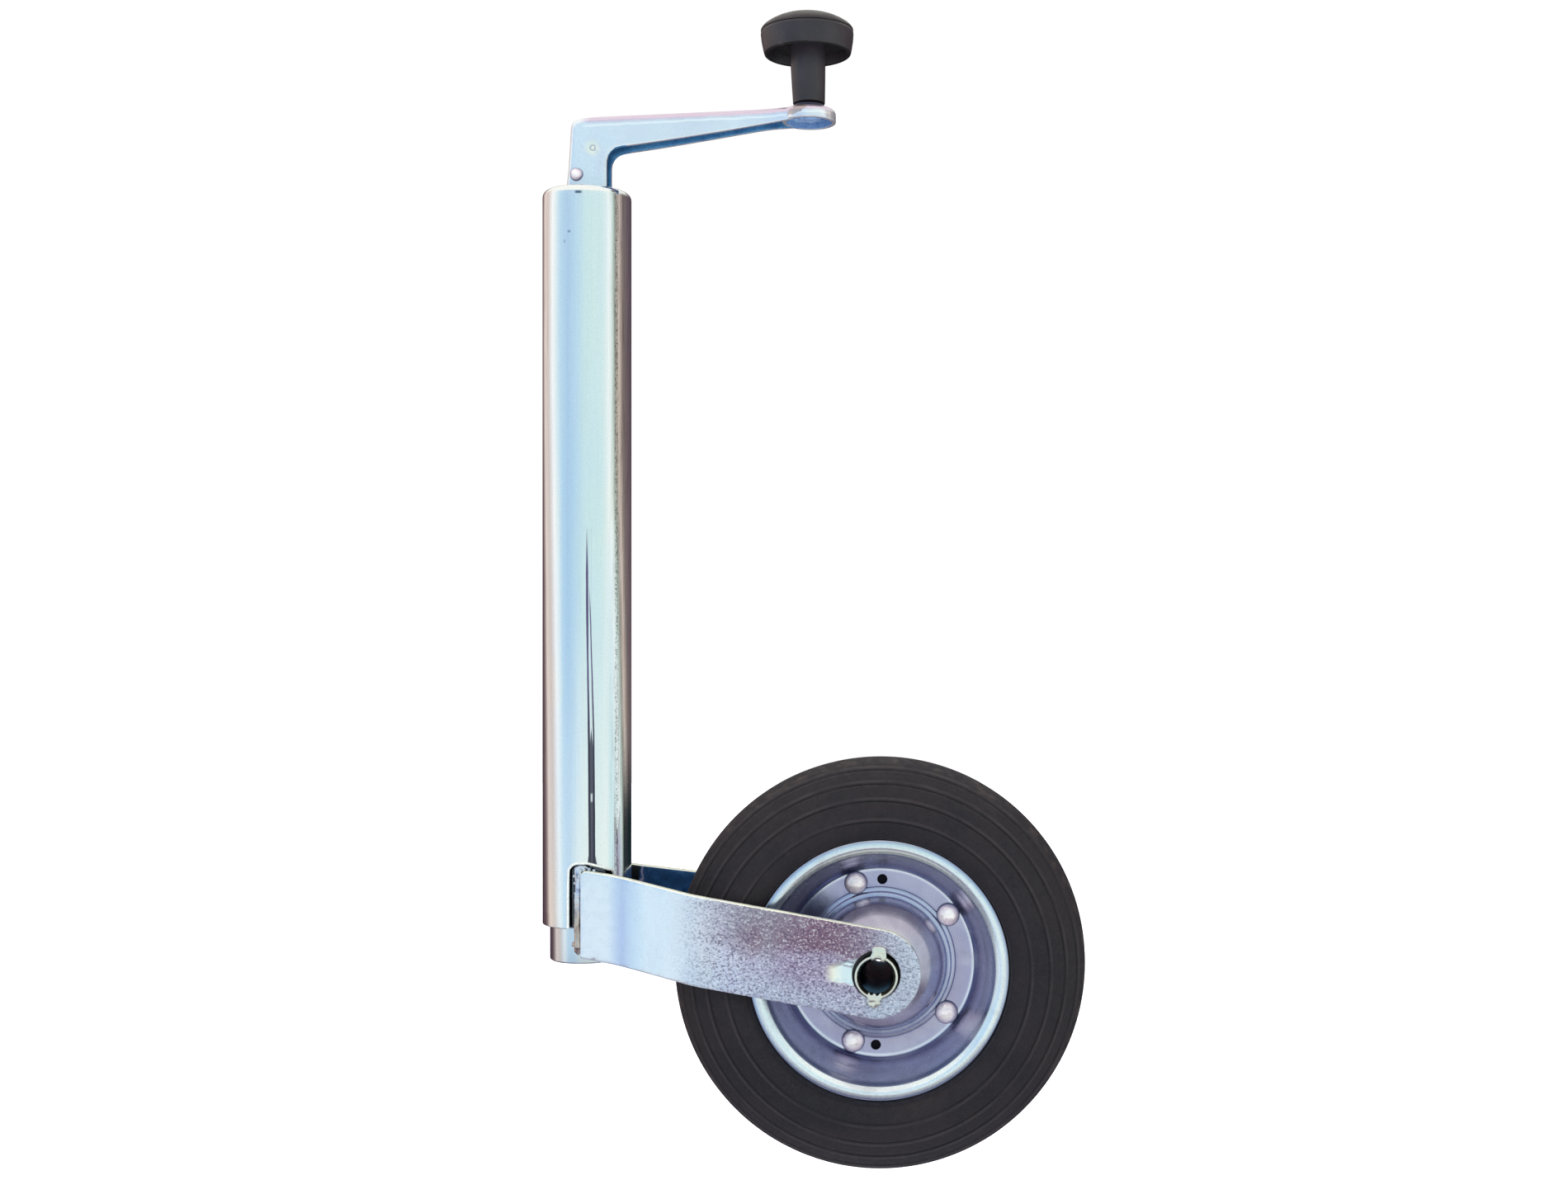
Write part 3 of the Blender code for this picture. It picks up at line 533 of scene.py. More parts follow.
def plastic_finish(name, base, tone, rough=(0.36, 0.50)):
    k = Kit(name)
    slow = k.noise(34, 3, 0.5)
    colour = k.mix(k.span(slow, 0.35, 0.65), base, tone)
    fine = k.noise(1500, 2, 0.5)
    colour = k.mix(k.span(fine, 0.5, 0.8, 0.0, 0.25), colour, tuple(min(1, c * 2.1) for c in base))
    scuff = k.span(k.noise(180, 4, 0.6, k.scaled(1, 1, 4)), 0.60, 0.74)
    colour = k.mix(k.math("MULTIPLY", scuff, 0.35), colour, tuple(min(1, c * 2.6 + 0.01) for c in base))
    colour = k.mix(k.math("MULTIPLY", k.edges(0.53, 0.60), 0.45), colour, tuple(min(1, c * 3.0 + 0.02) for c in base))
    roughness = k.span(k.noise(90, 4, 0.6), 0.3, 0.7, rough[0], rough[1])
    return k.finish(colour, roughness, 0.0, k.bump(k.math("ADD", fine, k.math("MULTIPLY", k.noise(300, 3), 0.6)), 0.22, 0.0003), Specular_IOR_Level=0.5)


def weld_finish():
    """Plating over a weld: frosty blue-white at the top, straw-grey lower down, with painted shade in random dark blue
    patches and painted highlights on its ridges.
    """
    k = Kit("zinc_over_weld")
    x, y, z = k.xyz()
    a = k.noise(150, 5, 0.65, None, 0.8)
    low = k.span(k.math("ADD", z, k.math("MULTIPLY", a, 0.010)), -0.176, -0.190)
    high = k.mix(k.ramp(a, [(0.40, 0.0), (0.60, 1.0)]), srgb(236, 242, 252), srgb(170, 190, 230))
    straw = k.mix(k.ramp(a, [(0.36, 0.0), (0.62, 1.0)]), srgb(214, 200, 190), srgb(186, 166, 158))
    colour = k.mix(low, high, straw)
    # painted shade: random dark blue patches
    colour = k.mix(k.ramp(k.noise(230, 4, 0.6), [(0.60, 0.0), (0.72, 0.8)]), colour, srgb(60, 60, 96))
    # painted highlight: convex ridges lightened to near white
    colour = k.mix(k.math("MULTIPLY", k.edges(0.50, 0.60), 0.4), colour, srgb(250, 248, 244))
    height = k.math("ADD", k.noise(300, 4, 0.6), k.math("MULTIPLY", k.noise(1200, 3), 0.25))
    return k.finish(colour, k.span(k.noise(260, 3), 0.3, 0.7, 0.20, 0.42), 1.0, k.bump(height, 0.4, 0.0005))


def rim_finish():
    """Wheel pressing: lilac-grey centre and rivet ring and a paler slope, with painted highlights and dark painted
    shade lines by radius, a painted straw reflection on the lip at the top and painted shade where the halves meet.
    """
    k = Kit("zinc_rim")
    x, y, z = k.xyz()
    dx, dz = k.math("SUBTRACT", x, WX * MM), k.math("SUBTRACT", z, WZ * MM)
    radius = k.math("SQRT", k.math("ADD", k.math("MULTIPLY", dx, dx), k.math("MULTIPLY", dz, dz)))
    # painted highlight and shade by radius: white rings at the dome's foot, the rivet ring's outer edge and the flange,
    # dark lines at the creases
    colour = k.ramp(
        k.span(radius, 0.018, 0.070, 0.0, 1.0, False),
        [
            (0.0, srgb(210, 208, 216)),
            (0.115, srgb(180, 176, 196)),
            (0.27, srgb(170, 164, 186)),
            (0.308, srgb(156, 154, 180)),
            (0.330, srgb(252, 254, 255)),
            (0.352, srgb(150, 158, 192)),
            (0.405, srgb(200, 206, 230)),
            (0.446, srgb(156, 156, 188)),
            (0.48, srgb(172, 168, 198)),
            (0.608, srgb(170, 170, 202)),
            (0.636, srgb(236, 240, 254)),
            (0.655, srgb(84, 94, 144)),
            (0.683, srgb(132, 130, 164)),
            (0.73, srgb(200, 198, 220)),
            (0.815, srgb(212, 214, 232)),
            (0.846, srgb(112, 122, 150)),
            (0.862, srgb(238, 248, 252)),
            (0.950, srgb(238, 248, 252)),
            (0.974, srgb(186, 202, 230)),
            (1.0, srgb(90, 108, 150)),
        ],
    )
    # painted reflection: the lip turns straw towards the top of the wheel
    turn = k.math("ARCTAN2", dz, dx)
    top = k.span(k.math("ABSOLUTE", k.math("SUBTRACT", turn, 1.62)), 0.62, 0.25)
    lip = k.span(radius, 0.0605, 0.0630)
    colour = k.mix(k.math("MULTIPLY", k.math("MULTIPLY", top, lip), 0.25), colour, srgb(226, 222, 214))
    swirl = k.noise(26, 3, 0.55, None, 1.4)
    colour = k.mix(k.span(swirl, 0.40, 0.66, 0.0, 0.26), colour, srgb(220, 222, 238))
    dusk = k.noise(34, 4, 0.6, None, 0.7)
    colour = k.mix(k.span(dusk, 0.52, 0.74, 0.0, 0.40), colour, srgb(150, 144, 160))
    mottle = k.noise(1300, 3, 0.6)
    colour = k.mix(k.span(mottle, 0.35, 0.65, 0.0, 0.12), colour, srgb(130, 134, 170))
    fleck = k.math("MULTIPLY", k.ramp(k.cells(380), [(0.0, 1.0), (0.05, 0.0)]), k.ramp(k.noise(110, 2), [(0.56, 0.0), (0.60, 1.0)]))
    colour = k.mix(k.math("MULTIPLY", fleck, 0.5), colour, srgb(96, 92, 116))
    # painted shade: near black within 0.6 mm of the middle plane, where the halves meet
    painted_gap_shade = k.span(k.math("ABSOLUTE", y), 0.0006, 0.0003)
    colour = k.mix(k.math("MULTIPLY", painted_gap_shade, 0.98), colour, (0.004, 0.004, 0.006))
    roughness = k.math("ADD", k.span(k.noise(60, 5, 0.65), 0.3, 0.7, 0.20, 0.30), k.math("MULTIPLY", painted_gap_shade, 0.4))
    height = k.math("ADD", k.math("MULTIPLY", k.noise(900, 4, 0.6), 0.6), k.math("MULTIPLY", k.noise(130, 2, 0.5), 1.2))
    drawn = k.math("SINE", k.math("ADD", k.math("MULTIPLY", radius, 2 * math.pi / 0.0011), k.math("MULTIPLY", k.noise(60, 2), 4.0)))
    height = k.math("ADD", height, k.math("MULTIPLY", drawn, 0.06))
    return k.finish(colour, roughness, 0.90, k.bump(height, 0.09, 0.0004))


def crank_finish():
    k, colour, roughness, height, grain = zinc(
        "zinc_crank", srgb(224, 229, 240), srgb(232, 240, 247), srgb(222, 218, 234), (0.16, 0.26), 0.10, (1, 1, 1), 0.3, 3.0
    )
    x, y, z = k.xyz()
    near = k.math("LESS_THAN", y, 0.0)
    # punched pip with a painted pale straw highlight round it and a painted shade ring
    away = k.math("SQRT", k.math("ADD", k.math("POWER", k.math("SUBTRACT", x, 0.0046), 2.0), k.math("POWER", k.math("SUBTRACT", z, 0.2227), 2.0)))
    colour = k.mix(k.math("MULTIPLY", k.math("MULTIPLY", k.span(away, 0.0062, 0.0010), near), 0.55), colour, srgb(255, 250, 222))
    pip = k.math("MULTIPLY", k.span(away, 0.0011, 0.0004), near)
    ringed = k.math("MULTIPLY", k.span(k.math("ABSOLUTE", k.math("SUBTRACT", away, 0.0014)), 0.0007, 0.0002), near)
    colour = k.mix(k.math("MULTIPLY", ringed, 0.45), colour, srgb(120, 130, 160))
    # the top edge of the arm gets a painted lilac reflection with a ragged painted highlight line under it, and the far
    # left a painted lilac reflection; by the eye the plating is stained straw-brown
    ridge = k.math("ADD", z, k.math("ADD", k.math("MULTIPLY", x, -0.052), k.math("MULTIPLY", k.math("SUBTRACT", k.noise(120, 4), 0.5), 0.0016)))
    arm = k.span(x, -0.004, 0.004)
    painted_top_reflection = k.math("MULTIPLY", k.span(ridge, 0.2352, 0.2372), arm)
    colour = k.mix(k.math("MULTIPLY", painted_top_reflection, 0.68), colour, srgb(208, 180, 206))
    painted_heel_reflection = k.span(k.math("ADD", x, k.math("MULTIPLY", k.math("SUBTRACT", k.noise(140, 3), 0.5), 0.0012)), -0.0132, -0.0150)
    colour = k.mix(k.math("MULTIPLY", painted_heel_reflection, 0.60), colour, srgb(196, 166, 186))
    painted_highlight_line = k.math("MULTIPLY", k.span(k.math("ABSOLUTE", k.math("SUBTRACT", ridge, 0.2346)), 0.0009, 0.0002), arm)
    colour = k.mix(k.math("MULTIPLY", painted_highlight_line, 0.7), colour, (1.0, 1.0, 1.0))
    sx = k.math("DIVIDE", k.math("SUBTRACT", x, 0.1163), 0.0056)
    sz = k.math("DIVIDE", k.math("SUBTRACT", k.math("SUBTRACT", z, 0.2427), k.math("MULTIPLY", k.math("SUBTRACT", x, 0.1163), 0.30)), 0.0028)
    stain = k.span(k.math("ADD", k.math("SQRT", k.math("ADD", k.math("MULTIPLY", sx, sx), k.math("MULTIPLY", sz, sz))), k.math("MULTIPLY", k.math("SUBTRACT", k.noise(330, 3), 0.5), 1.1)), 1.05, 0.75)
    colour = k.mix(k.math("MULTIPLY", k.math("MULTIPLY", stain, near), 0.85), colour, srgb(176, 160, 158))
    height = k.math("ADD", height, k.math("ADD", k.math("MULTIPLY", pip, 12.0), k.math("MULTIPLY", ringed, -8.0)))
    return k.finish(colour, roughness, 0.82, k.bump(height, grain, 0.0004))


def bore_shade_finish():
    k = Kit("bore_painted_shade")
    # painted shade: the inside of the axle tube is near black, with a painted dim teal glow towards its lower side
    colour = k.mix(k.noise(240, 3), (0.0004, 0.0006, 0.0008), (0.0012, 0.0024, 0.0034))
    colour = k.mix(k.span(k.xyz()[2], -0.2258, -0.2292), colour, (0.040, 0.085, 0.130))
    return k.finish(colour, k.span(k.noise(160, 3), 0.3, 0.7, 0.24, 0.36), 0.0, k.bump(k.noise(700, 3), 0.15, 0.0003), Specular_IOR_Level=0.02)


def painted_light_finish(name, lit, deep, metallic=0.5, painted_shadow_x=None):
    """Plating whose colour is painted light: painted shade and painted reflection on inward faces, painted highlight on
    bright ones; soft.
    """
    k = Kit(name)
    slow = k.noise(60, 4, 0.6, None, 0.6)
    colour = k.mix(k.span(slow, 0.32, 0.68), lit, deep)
    colour = k.mix(k.span(k.noise(900, 3, 0.6), 0.40, 0.70, 0.0, 0.35), colour, tuple(c * 0.5 for c in deep))
    if painted_shadow_x:
        # painted shadow: near black below the given x, with a pale painted highlight line along its edge
        x = k.xyz()[0]
        ragged = k.math("ADD", x, k.math("MULTIPLY", k.math("SUBTRACT", k.noise(260, 4), 0.5), 0.006))
        colour = k.mix(k.span(ragged, painted_shadow_x + 0.0010, painted_shadow_x), colour, (0.004, 0.005, 0.007))
        rim = k.span(k.math("ABSOLUTE", k.math("SUBTRACT", ragged, painted_shadow_x + 0.0018)), 0.0008, 0.0002)
        colour = k.mix(k.math("MULTIPLY", rim, 0.5), colour, srgb(196, 176, 200))
    return k.finish(colour, k.span(k.noise(180, 3), 0.3, 0.7, 0.26, 0.42), metallic, k.bump(k.noise(700, 3), 0.2, 0.0003), Specular_IOR_Level=0.4)


def rivet_finish():
    """Set rivet: coloured by how squarely each face looks along y, a painted highlight on the crown and painted shade
    on the skirt.
    """
    k = Kit("zinc_rivet")
    geometry = k.tree.nodes.new("ShaderNodeNewGeometry")
    parts = k.tree.nodes.new("ShaderNodeSeparateXYZ")
    k.tree.links.new(geometry.outputs["Normal"], parts.inputs[0])
    crown = k.math("ABSOLUTE", parts.outputs[1])
    crown = k.math("ADD", crown, k.math("MULTIPLY", k.math("SUBTRACT", k.noise(420, 3), 0.5), 0.16))
    # painted highlight and shade: pinkish-white where the face looks along y, dark grey-blue towards the dome's edge
    colour = k.ramp(crown, [(0.0, srgb(70, 76, 104)), (0.50, srgb(96, 98, 126)), (0.66, srgb(176, 170, 192)), (0.86, srgb(208, 196, 210)), (0.965, srgb(246, 236, 240)), (1.0, srgb(255, 252, 250))])
    colour = k.mix(k.span(k.noise(900, 3, 0.6), 0.45, 0.70, 0.0, 0.25), colour, srgb(140, 138, 160))
    return k.finish(colour, k.span(k.noise(200, 3), 0.3, 0.7, 0.20, 0.32), 0.45, k.bump(k.noise(700, 3), 0.18, 0.0003), Specular_IOR_Level=0.5)


def steel_finish(name, base, ring_scale, axis, rough=(0.24, 0.38)):
    """Machined steel: turning marks round its axis, oil darkening and small marks."""
    k = Kit(name)
    x, y, z = k.xyz()
    along = {"x": x, "y": y, "z": z}[axis]
    marks = k.math("SINE", k.math("ADD", k.math("MULTIPLY", along, ring_scale), k.math("MULTIPLY", k.noise(50, 2), 5.0)))
    oil = k.ramp(k.noise(70, 5, 0.65), [(0.38, 0.0), (0.66, 1.0)])
    colour = k.mix(oil, base, tuple(c * 0.55 for c in base))
    colour = k.mix(k.math("MULTIPLY", k.ramp(k.noise(260, 4), [(0.58, 0.0), (0.72, 1.0)]), 0.4), colour, srgb(132, 112, 92))
    colour = k.mix(k.math("MULTIPLY", k.edges(0.53, 0.62), 0.6), colour, (0.82, 0.82, 0.82))
    height = k.math("ADD", k.math("MULTIPLY", marks, 0.35), k.noise(700, 3))
    return k.finish(colour, k.span(k.noise(120, 3), 0.3, 0.7, rough[0], rough[1]), 1.0, k.bump(height, 0.25, 0.0003))


def nylon_finish():
    k = Kit("nylon_natural")
    colour = k.mix(k.span(k.noise(60, 3), 0.3, 0.7), srgb(226, 222, 206), srgb(206, 200, 180))
    colour = k.mix(k.ramp(k.noise(180, 4), [(0.58, 0.0), (0.75, 0.5)]), colour, srgb(150, 138, 110))
    return k.finish(colour, k.span(k.noise(200, 3), 0.3, 0.7, 0.34, 0.52), 0.0, k.bump(k.noise(900, 3), 0.2, 0.0003), Subsurface_Weight=0.08)


MAT_TUBE = tube_finish()
MAT_INNER = inner_finish()
MAT_CRANK = crank_finish()
MAT_RIM = rim_finish()
MAT_RIVET = rivet_finish()
MAT_AXLE = zinc_plain("zinc_axle", srgb(236, 238, 232), srgb(244, 240, 224), srgb(216, 222, 228), (0.20, 0.32), 0.25, (1, 1, 1), 0.4, 5)
MAT_DULL = zinc_plain("zinc_dull_grey", srgb(150, 158, 178), srgb(168, 172, 188), srgb(130, 132, 150), (0.34, 0.50), 0.35, (1, 1, 1), 0.6, 9)
MAT_LEG_NEAR, MAT_LEG_FAR = leg_finish("zinc_leg_near", 0.0), leg_finish("zinc_leg_far", 6.0)
MAT_RUBBER = rubber_finish()
MAT_KNOB = plastic_finish("knob_plastic", srgb(33, 30, 36), srgb(43, 39, 46), (0.30, 0.42))
MAT_CAP = plastic_finish("cap_plastic", srgb(38, 33, 36), srgb(50, 43, 46), (0.38, 0.52))
MAT_BLACK = plastic_finish("bush_plastic", srgb(30, 30, 38), srgb(42, 42, 52), (0.30, 0.42))
MAT_KNOB_UNDER_SHADE = plastic_finish("knob_underside_painted_shade", srgb(8, 7, 8), srgb(15, 12, 12), (0.62, 0.75))
MAT_WASHER = plastic_finish("washer_plastic", srgb(24, 24, 46), srgb(36, 34, 60), (0.34, 0.46))
MAT_WELD = weld_finish()
MAT_STEEL = steel_finish("plain_steel_turned", srgb(168, 168, 172), 9000.0, "z")
MAT_STEEL_Y = steel_finish("plain_steel_cross", srgb(160, 160, 166), 9000.0, "y")
MAT_BALLS = steel_finish("bearing_steel", srgb(196, 198, 204), 4000.0, "z", (0.10, 0.2))
MAT_NYLON = nylon_finish()
# painted shade: the spacer washers, deep behind the legs, are coloured near black
MAT_SHADE_DARK = plastic_finish("painted_shade_dark", srgb(20, 20, 26), srgb(30, 30, 40), (0.30, 0.45))
MAT_BORE_SHADE = bore_shade_finish()
MAT_TOP_HIGHLIGHT = painted_light_finish("zinc_painted_top_highlight", srgb(250, 250, 226), srgb(232, 236, 224), 0.35)
MAT_SWAGED = painted_light_finish("zinc_swaged_pin_painted_highlight", srgb(188, 212, 238), srgb(116, 154, 206), 0.55)
MAT_LIP_HIGHLIGHT = painted_light_finish("zinc_painted_lip_highlight", srgb(244, 246, 236), srgb(226, 234, 238), 0.45)
MAT_LEG_INSIDE = painted_light_finish("zinc_leg_inside_painted_shade", srgb(50, 98, 150), srgb(26, 62, 104), 0.5, 0.0247)
MAT_CRANK_INSIDE = painted_light_finish("zinc_crank_inside_painted_reflection", srgb(88, 152, 200), srgb(54, 108, 160))
MAT_CUP_INSIDE = painted_light_finish("zinc_cup_inside_painted_reflection", srgb(164, 198, 232), srgb(90, 134, 192), 0.6)

CAD_FINISH = {
    "end_plate": MAT_STEEL, "thrust_race_upper": MAT_BALLS, "thrust_ball_cage": MAT_BALLS, "thrust_race_lower": MAT_BALLS,
    "spindle": MAT_STEEL, "spindle_stop_washer": MAT_STEEL, "spindle_stop_pin": MAT_STEEL_Y, "spindle_nut": MAT_STEEL,
    "guide_ring": MAT_NYLON, "hub_tube": MAT_DULL, "hub_bush_near": MAT_BLACK, "hub_bush_far": MAT_BLACK,
    "spacer_washer_near": MAT_SHADE_DARK, "spacer_washer_far": MAT_SHADE_DARK, "knob_pin": MAT_AXLE, "knob_washer": MAT_WASHER,
    "outer_tube": MAT_TUBE, "inner_tube": MAT_INNER, "fork_leg_near": MAT_LEG_NEAR, "fork_leg_far": MAT_LEG_FAR,
    "weld_near": MAT_WELD, "weld_far": MAT_WELD, "axle_tube": MAT_AXLE, "rim_half_near": MAT_RIM, "rim_half_far": MAT_RIM,
    "tyre": MAT_RUBBER, "crank_arm": MAT_CRANK, "crank_rivet": MAT_RIVET, "knob_body": MAT_KNOB, "knob_cap": MAT_CAP,
}
for _i in range(5):
    CAD_FINISH["rim_rivet_%d" % (_i + 1)] = MAT_RIVET
for _name, _ob in nodes.items():
    _ob.data.materials.clear()
    _ob.data.materials.append(CAD_FINISH[_name])


def tube_along(path, radius, segs=14):
    """A closed worm along points; radius(i, angle) may differ round it."""
    verts, faces = [], []
    m = len(path)
    for i, p in enumerate(path):
        a, b = Vector(path[max(i - 1, 0)]), Vector(path[min(i + 1, m - 1)])
        d = (b - a).normalized()
        u = d.cross(Vector((0, 1, 0))) if abs(d.y) < 0.9 else d.cross(Vector((1, 0, 0)))
        u.normalize()
        w = d.cross(u)
        for k in range(segs):
            t = 2 * math.pi * k / segs
            q = Vector(p) + (u * math.cos(t) + w * math.sin(t)) * radius(i, t)
            verts.append(tuple(q))
    for i in range(m - 1):
        for k in range(segs):
            j = (k + 1) % segs
            faces.append((i * segs + k, i * segs + j, (i + 1) * segs + j, (i + 1) * segs + k))
    for base, p, rev in ((0, path[0], 1), ((m - 1) * segs, path[-1], 0)):
        c = len(verts)
        verts.append(tuple(p))
        for k in range(segs):
            j = (k + 1) % segs
            faces.append((c, base + j, base + k) if rev else (c, base + k, base + j))
    return verts, faces


# ------------------------------------------------------------------ outer tube: rolled top, drawn mark, arched notch
def track(stops, t):
    for (a, u), (b, v) in zip(stops, stops[1:]):
        if t <= b:
            return u + (v - u) * (max(t, a) - a) / (b - a)
    return stops[-1][1]


def tube_mark(x, y, z):
    """Depth of the shallow drawn groove at a point of the near side."""
    if y > 0 or z > 15.5 or z < -168:
        return 0.0
    drop = (15.5 - z) / 181.5
    c = track([(0, 4.4), (0.22, 5.3), (0.42, 6.6), (0.64, 7.2), (1, 7.4)], drop)
    w = track([(0, 0.5), (0.13, 1.4), (0.4, 2.0), (0.64, 1.9), (0.96, 1.9), (1, 3.2)], drop)
    d = track([(0, 0.0), (0.15, 0.22), (0.45, 0.30), (0.9, 0.38), (1, 0.40)], drop)
    return d * math.exp(-((x - c) / w) ** 2)


def tube_shape(r, h, a):
    if r > TUBE_R - 0.2 and h < TUBE_TOP - 6:
        x, y = r * math.cos(a), r * math.sin(a)
        r = r - tube_mark(x, y, h)
    return r, h


steps = [TUBE_TOP - 12 - i * 4.0 for i in range(int((TUBE_TOP - TUBE_BOTTOM - 14) / 4.0))]
profile = rounded(
    [(16.0, TUBE_TOP - 3, 0.4), (16.0, TUBE_TOP, 1.1), (TUBE_R, TUBE_TOP, 5.0)]
    + [(TUBE_R, z) for z in steps]
    + [(TUBE_R, TUBE_BOTTOM, 0.5), (21.0, TUBE_BOTTOM, 0.5), (21.0, TUBE_TOP - 3, 2.0)],
    5,
)
v, f = lathe(profile, upright(), 144, tube_shape)
outer = make("outer_tube_shell", v, f, MAT_TUBE, "outer_tube", ["outer_tube"])
NL, NR, NT = -5.2, 17.0, -165.4
line = rounded([(NL, -206), (NL, NT, 7.4), (4.5, NT + 0.1, 6.0), (12.5, NT - 2.5, 6.0), (NR, NT - 4.6, 2.6), (NR, -206)], 7)
v = [(x, -30.0, z) for x, z in line] + [(x, 30.0, z) for x, z in line]
n = len(line)
f = [tuple(range(n)), tuple(range(2 * n - 1, n - 1, -1))] + [(i, (i + 1) % n, n + (i + 1) % n, n + i) for i in range(n)]
cut(outer, cutter("notch", v, f))
tidy(outer, 32, 0.00002)
soften(outer, 0.5, 2, 40)
settle(outer, 40)

# the punched edge stands up slightly as a rounded lip, coloured as a painted highlight
lip_line = [p for p in line if p[1] > -199.6]
lip_line = [(NL, -199.6), (NL, -196.0), (NL, -190.0), (NL, -184.0)] + [p for p in lip_line if p[1] > -184] + [(NR, -176.0), (NR, -184.0), (NR, -192.0), (NR, -199.6)]
mid = Vector((5.5, -182.0))
base = len(outer.data.vertices)
lip_path = []
for x, z in lip_line:
    out = Vector((x, z)) - Vector((mid.x, min(z, mid.y)))
    out.normalize()
    x2, z2 = x + out.x * 0.70, z + out.y * 0.70
    lip_path.append((x2, -math.sqrt(TUBE_R ** 2 - x2 ** 2) + 0.25, z2))
lv, lf = tube_along(lip_path, lambda i, a: 0.68, 10)
lip_mesh = cutter("notch_lip", lv, lf)
outer.data.materials.append(MAT_LIP_HIGHLIGHT)
for face in lip_mesh.data.polygons:
    face.material_index = 1
joined = bmesh.new()
joined.from_mesh(outer.data)
joined.from_mesh(lip_mesh.data)
joined.to_mesh(outer.data)
joined.free()
bpy.data.objects.remove(lip_mesh, do_unlink=True)
tidy(outer, 40)

v, f = lathe(
    rounded([(18.0, INNER_TOP, 0.4), (INNER_R, INNER_TOP, 0.6)] + [(INNER_R, INNER_TOP - 8 - 12 * i) for i in range(29)]
            + [(INNER_R, INNER_BOTTOM, 0.9), (18.0, INNER_BOTTOM, 0.6)], 4),
    upright(),
    128,
    lambda r, h, a: (r + 0.03 * lump(r * math.cos(a), r * math.sin(a), h * 0.3, 7.0), h),
)
make("inner_tube_wall", v, f, MAT_INNER, "fork", ["inner_tube"])


# ------------------------------------------------------------------ plates with rounded edges
def inside(p, loop):
    x, z = p
    hit = False
    for (x1, z1), (x2, z2) in zip(loop, loop[1:] + loop[:1]):
        if (z1 > z) != (z2 > z) and x < (x2 - x1) * (z - z1) / (z2 - z1) + x1:
            hit = not hit
    return hit


def spaced(loop, step):
    """The closed loop resampled so that no side is much longer than the step."""
    out = []
    for (x1, z1), (x2, z2) in zip(loop, loop[1:] + loop[:1]):
        n = max(1, round(math.hypot(x2 - x1, z2 - z1) / step))
        out += [(x1 + (x2 - x1) * k / n, z1 + (z2 - z1) * k / n) for k in range(n)]
    return out


def inset(loop, d):
    """The loop moved d to its left side (into a counter-clockwise outline)."""
    out = []
    m = len(loop)
    for i in range(m):
        (x0, z0), (x1, z1), (x2, z2) = loop[i - 1], loop[i], loop[(i + 1) % m]
        a, b = Vector((x1 - x0, z1 - z0)).normalized(), Vector((x2 - x1, z2 - z1)).normalized()
        na, nb = Vector((-a.y, a.x)), Vector((-b.y, b.x))
        q = (na + nb) / max(0.35, 1 + na.dot(nb))
        out.append((x1 + q.x * d, z1 + q.y * d))
    return out


